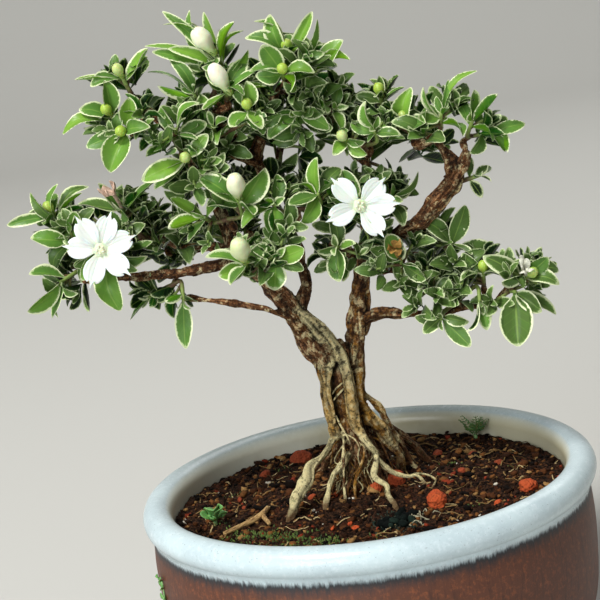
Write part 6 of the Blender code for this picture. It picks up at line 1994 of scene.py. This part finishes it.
class SERISSA_OT_pot(bpy.types.Operator):
    """Make the glazed pot, with its drain holes cut, and finish the drain mesh"""

    bl_idname = "serissa.pot"
    bl_label = "Pot"

    def execute(self, context):
        """Turn the pot's profile, cut the holes and give it its glaze."""
        pot = context.scene.serissa_pot
        holes, ring, radius = DRAIN_HOLES
        drills = []
        for angle in even_turns(holes):
            x, y = ring * math.cos(angle), ring * math.sin(angle)
            bore = swept(vec([(x, y, z, radius) for z in (-1, 1, 3, 5, 6)]), 24)
            drills.append(linked("drill", plain_mesh("drill", bore.points, bore.quads, bore.tris)))

        def prepare(work):
            """Take each drill's volume away from the pot's."""
            for drill in drills:
                hole = work.modifiers.new("hole", "BOOLEAN")
                hole.operation = "DIFFERENCE"
                hole.object = drill

        mesh = evaluated_mesh(pot_skin(pot), prepare)
        mesh.vertices.foreach_set("co", read_values(mesh.vertices, "co") * MM)
        mesh.name = "glazed_pot"
        for drill in drills:
            bpy.data.objects.remove(drill)
        place_piece("glazed_pot", mesh, pot_material(pot), ["pot"], 50)
        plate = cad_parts["drain_mesh"]
        plate.data.materials.clear()
        plate.data.materials.append(mesh_material())
        return {"FINISHED"}


class SERISSA_OT_soil(bpy.types.Operator):
    """Make the crumbly soil, its loose crumbs, the clay granules and the litter on it"""

    bl_idname = "serissa.soil"
    bl_label = "Soil"

    def execute(self, context):
        """Fill the pot and strew the soil."""
        pot = context.scene.serissa_pot
        soil = context.scene.serissa_soil
        make_piece("potting_soil", soil_skin(pot, soil), soil_material(soil), ["soil"])
        loose = crumb_material()
        make_piece("soil_crumbs", crumb_skins(soil), loose)
        make_piece("root_fibres", fibre_skins(soil), loose)
        clay = baked_clay_material(soil)
        for k, (x, y, radius) in enumerate(GRANULES):
            make_piece(f"granule_{k + 1}", granule_skin(x, y, radius, k), clay,
                       [f"clay_granule_{k + 1}"])
        chance = np.random.default_rng(SEEDS["small granules"])
        spots = vec(SMALL_GRANULES)
        centres = np.column_stack([spots[:, :2], soil_level(spots, soil) + 0.2 * spots[:, 2]])
        small = lump_skins(centres, spots[:, 2], 0.8, chance, 12, 7, 0.09)
        make_piece("small_granules", small, clay)
        return {"FINISHED"}


class SERISSA_OT_greens(bpy.types.Operator):
    """Make the moss, the small weeds, the dead rootlet and the sprig on the pot"""

    bl_idname = "serissa.greens"
    bl_label = "Moss and weeds"

    def execute(self, context):
        """Plant the small greens."""
        soil = context.scene.serissa_soil
        chance = random.Random(SEEDS["moss"])
        strip = [(-31 + 22 * t + chance.uniform(-2, 2), -15 - 15 * t + chance.uniform(-3, 2))
                 for t in [k / 26 for k in range(27)]]
        clump = [(4.5 + chance.gauss(0, 2), -24 + chance.gauss(0, 1.5)) for k in range(18)]
        tufts = [(30 * math.cos(a) + chance.uniform(-9, 9), 30 * math.sin(a) + chance.uniform(-9, 9))
                 for a in [0.52 * k for k in range(12)]]
        # Spread, blades in a tuft, their length, how bright and how dark they are
        beds = ((strip, 1.5, 22, 1.1, 0.3, 0.15), (clump, 1.4, 16, 1.0, 0.1, 0.9),
                (tufts, 1.0, 12, 0.9, 0.3, 0.3))
        blades = merged([moss_blades(*bed, soil, SEEDS["moss blades"] + k) for k, bed in enumerate(beds)])
        make_piece("moss", blades, moss_material(soil))
        make_piece("dark_liverwort", liverwort_skin(soil), crumb_material())
        green = weed_material()
        for name, place in WEEDS.items():
            make_piece(name + "_leaves", weed_skin(name, place), green, [name])
        make_piece("dry_rootlet", rootlet_skin(), dry_root_material(), ["dead_rootlet"])
        make_piece("pot_sprig", sprig_skin(), green)
        return {"FINISHED"}


class SERISSA_OT_wood(bpy.types.Operator):
    """Make the roots, trunk, branches and twigs with their bark"""

    bl_idname = "serissa.wood"
    bl_label = "Wood"

    def execute(self, context):
        """Fuse the strands and dress them with bark."""
        settings = context.scene.serissa_tree
        bark = bark_material(settings)
        paths, tones = zip(*wood_strands())
        skin, normals = fuse(paths, settings.voxel / MM)
        wood = dress_wood(skin, normals, tones, paths, settings)
        make_piece("living_wood", wood, bark, ["tree_wood"])
        routes, tones = fine_roots()
        routes += PALE_ROOTS
        tones += [(0.8, 0, 0.1)] * len(PALE_ROOTS)
        skins = []
        for k, (route, tone) in enumerate(zip(routes, tones)):
            samples = gnarled(smooth_route(route, 0.6), 200 + k, 1.2)
            skin = swept(samples, 6)
            rows = tube_rows(samples, 6)
            skin.marks["grain"] = np.column_stack([skin.points[:, :2] - samples[rows, :2], 0.1 * rows + k])
            skin.paint("bark_tone", tone)
            skins.append(skin)
        make_piece("fine_roots", merged(skins), bark)
        return {"FINISHED"}


class SERISSA_OT_leaves(bpy.types.Operator):
    """Make the leafy sprays, their shoots and the small buds"""

    bl_idname = "serissa.leaves"
    bl_label = "Leaves and shoots"

    def execute(self, context):
        """Set every spray's leaves, then the stems that carry them."""
        leaf = context.scene.serissa_leaf
        blade = leaf_material(leaf)
        planned = planned_shoots(leaf)
        stems = []
        for number, (name, heads) in enumerate(SPRAYS.items()):
            skin = spray_skin(number, name, heads, planned[name], leaf)
            make_piece("leaves_" + name, skin, blade, ["spray_" + name], 60)
            stems += [smooth_route(route, 0.6) for route in stem_routes(heads)]
            for shoot in planned[name]:
                path = np.column_stack([vec(shoot[0]), vec((0.42, 0.36, 0.3))])
                stems.append(smooth_route(path, 0.7))
        skins = []
        for samples in stems:
            skin = swept(samples, 6)
            share = tube_rows(samples, 6) / (len(samples) - 1)
            skin.marks["shoot_place"] = np.column_stack([share, 0 * share, 0 * share])
            skins.append(skin)
        make_piece("shoots", merged(skins), shoot_material())
        return {"FINISHED"}


class SERISSA_OT_flowers(bpy.types.Operator):
    """Make the open blooms, the large and small buds and the wilted flowers"""

    bl_idname = "serissa.flowers"
    bl_label = "Flowers and buds"

    def execute(self, context):
        """Set the flowers on their heads."""
        flower = context.scene.serissa_flower
        petal = petal_material(flower)
        closed = bud_material(flower)
        chance = random.Random(SEEDS["small buds"])
        small = []
        for name, heads in SPRAYS.items():
            for head in heads:
                centre, face = head_parts(head)[:2]
                if head[4] == "bloom":
                    side = name.split("_")[0]
                    make_piece("open_bloom_" + side, bloom_skin(name, head, flower), petal,
                               ["bloom_" + side], 70)
                if head[4] == "large bud":
                    length, width, back, way, tone = LARGE_BUDS[name]
                    way = unit(vec(way))
                    start = centre + face * GAP - way * back
                    body = bud_skin(start, way, length, width, 30, 26, tone, 0.03)
                    bud = merged([body, calyx_skin(start, way, 0.24 * width, 1.6)])
                    make_piece("bud_" + name, bud, closed, ["flower_" + name])
                if head[4] == "bud":
                    tone = chance.uniform(-0.3, 0.3)
                    small.append(bud_skin(centre - face * 0.5, face, *SMALL_BUD, 14, 11, tone, 0.04))
                    small.append(calyx_skin(centre - face * 0.4, face, 0.7, 1.2))
        make_piece("small_buds", merged(small), closed)
        faded = []
        for k, (name, head, place, face, length, colour) in enumerate(WILTED):
            foot = head_parts(SPRAYS[name][head])[0]
            faded.append(wilted_skin(foot, seen(*place), unit(vec(face)), length, colour,
                                     SEEDS["wilted flowers"] + k))
        make_piece("wilted_flowers", merged(faded), wilted_material(), (), 70)
        return {"FINISHED"}


class SERISSA_OT_stage(bpy.types.Operator):
    """Set the floor, the lights and the camera"""

    bl_idname = "serissa.stage"
    bl_label = "Stage"

    def execute(self, context):
        """Sweep the pale floor up into a backdrop, and light it softly."""
        stage = context.scene.serissa_stage
        bend = np.radians(np.linspace(0, 90, 20))
        curve = np.column_stack([1.2 + 0.6 * np.sin(bend), 0.6 - 0.6 * np.cos(bend)])
        profile = np.vstack([[(-2.5, 0)], curve, [(1.8, 3)]])
        points = vec([(x, y, z) for y, z in profile for x in (-3, 0, 3)])
        quads = grid_faces(np.arange(len(points)).reshape(-1, 3))[:, ::-1]
        mesh = plain_mesh("studio_floor", points, quads)
        mesh.shade_smooth()
        mesh.materials.append(paper_material(stage))
        floor = linked("studio_floor", mesh)
        lights = (("key_light", (-0.65, -0.75, 1.6), 0.5, stage.key_power, (1.0, 0.98, 0.94)),
                  ("fill_light", (-0.8, -1.35, 0.5), 1.0, stage.fill_power, (0.94, 0.97, 1.0)),
                  ("back_light", (0.45, 1.0, 1.2), 0.9, 0.35 * stage.fill_power, (1.0, 1.0, 1.0)))
        for name, place, width, power, colour in lights:
            data = bpy.data.lights.new(name, "AREA")
            data.shape = "DISK"
            data.size = width
            data.energy = power
            data.color = colour
            linked(name, data).matrix_world = looking(vec(place), vec(LIGHT_AIM))
        world = bpy.data.worlds.new("even_sky")
        world.use_nodes = True
        sky = world.node_tree.nodes["Background"]
        feed(world.node_tree, sky, {"Color": "#efeeea", "Strength": stage.sky})
        context.scene.world = world
        context.scene.view_settings.view_transform = "Standard"
        lens = bpy.data.cameras.new("photo_view")
        lens.lens = stage.lens
        lens.sensor_width = 36
        lens.clip_start = 0.01
        camera = linked("photo_view", lens)
        camera.matrix_world = looking(SIGHT_POINT * MM, vec(CAMERA_AIM) * MM, CAMERA_ROLL)
        context.scene.camera = camera
        return {"FINISHED"}


class SERISSA_PT_panel(bpy.types.Panel):
    """Lists the pieces of the serissa"""

    bl_idname = "SERISSA_PT_panel"
    bl_label = "Serissa"
    bl_space_type = "VIEW_3D"
    bl_region_type = "UI"
    bl_category = "Serissa"

    def draw(self, context):
        """One button for each piece, then the settings."""
        for operator in OPERATORS:
            self.layout.operator(operator.bl_idname)
        for name, kind in SETTINGS.items():
            box = self.layout.box()
            for setting in kind.__annotations__:
                box.prop(getattr(context.scene, name), setting)


SETTINGS = {
    "serissa_pot": PotSettings,
    "serissa_soil": SoilSettings,
    "serissa_tree": TreeSettings,
    "serissa_leaf": LeafSettings,
    "serissa_flower": FlowerSettings,
    "serissa_stage": StageSettings,
}
OPERATORS = (SERISSA_OT_pot, SERISSA_OT_soil, SERISSA_OT_greens, SERISSA_OT_wood, SERISSA_OT_leaves,
             SERISSA_OT_flowers, SERISSA_OT_stage)


def register():
    """Register the settings, the operators and the panel."""
    for name, kind in SETTINGS.items():
        bpy.utils.register_class(kind)
        setattr(bpy.types.Scene, name, bpy.props.PointerProperty(type=kind))
    for kind in OPERATORS + (SERISSA_PT_panel,):
        bpy.utils.register_class(kind)


def unregister():
    """Take out what register put in."""
    for kind in (SERISSA_PT_panel,) + OPERATORS[::-1]:
        bpy.utils.unregister_class(kind)
    for name, kind in SETTINGS.items():
        delattr(bpy.types.Scene, name)
        bpy.utils.unregister_class(kind)


def main():
    """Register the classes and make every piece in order."""
    register()
    bpy.ops.serissa.pot()
    bpy.ops.serissa.soil()
    bpy.ops.serissa.greens()
    bpy.ops.serissa.wood()
    bpy.ops.serissa.leaves()
    bpy.ops.serissa.flowers()
    bpy.ops.serissa.stage()


if __name__ == "__main__":
    main()
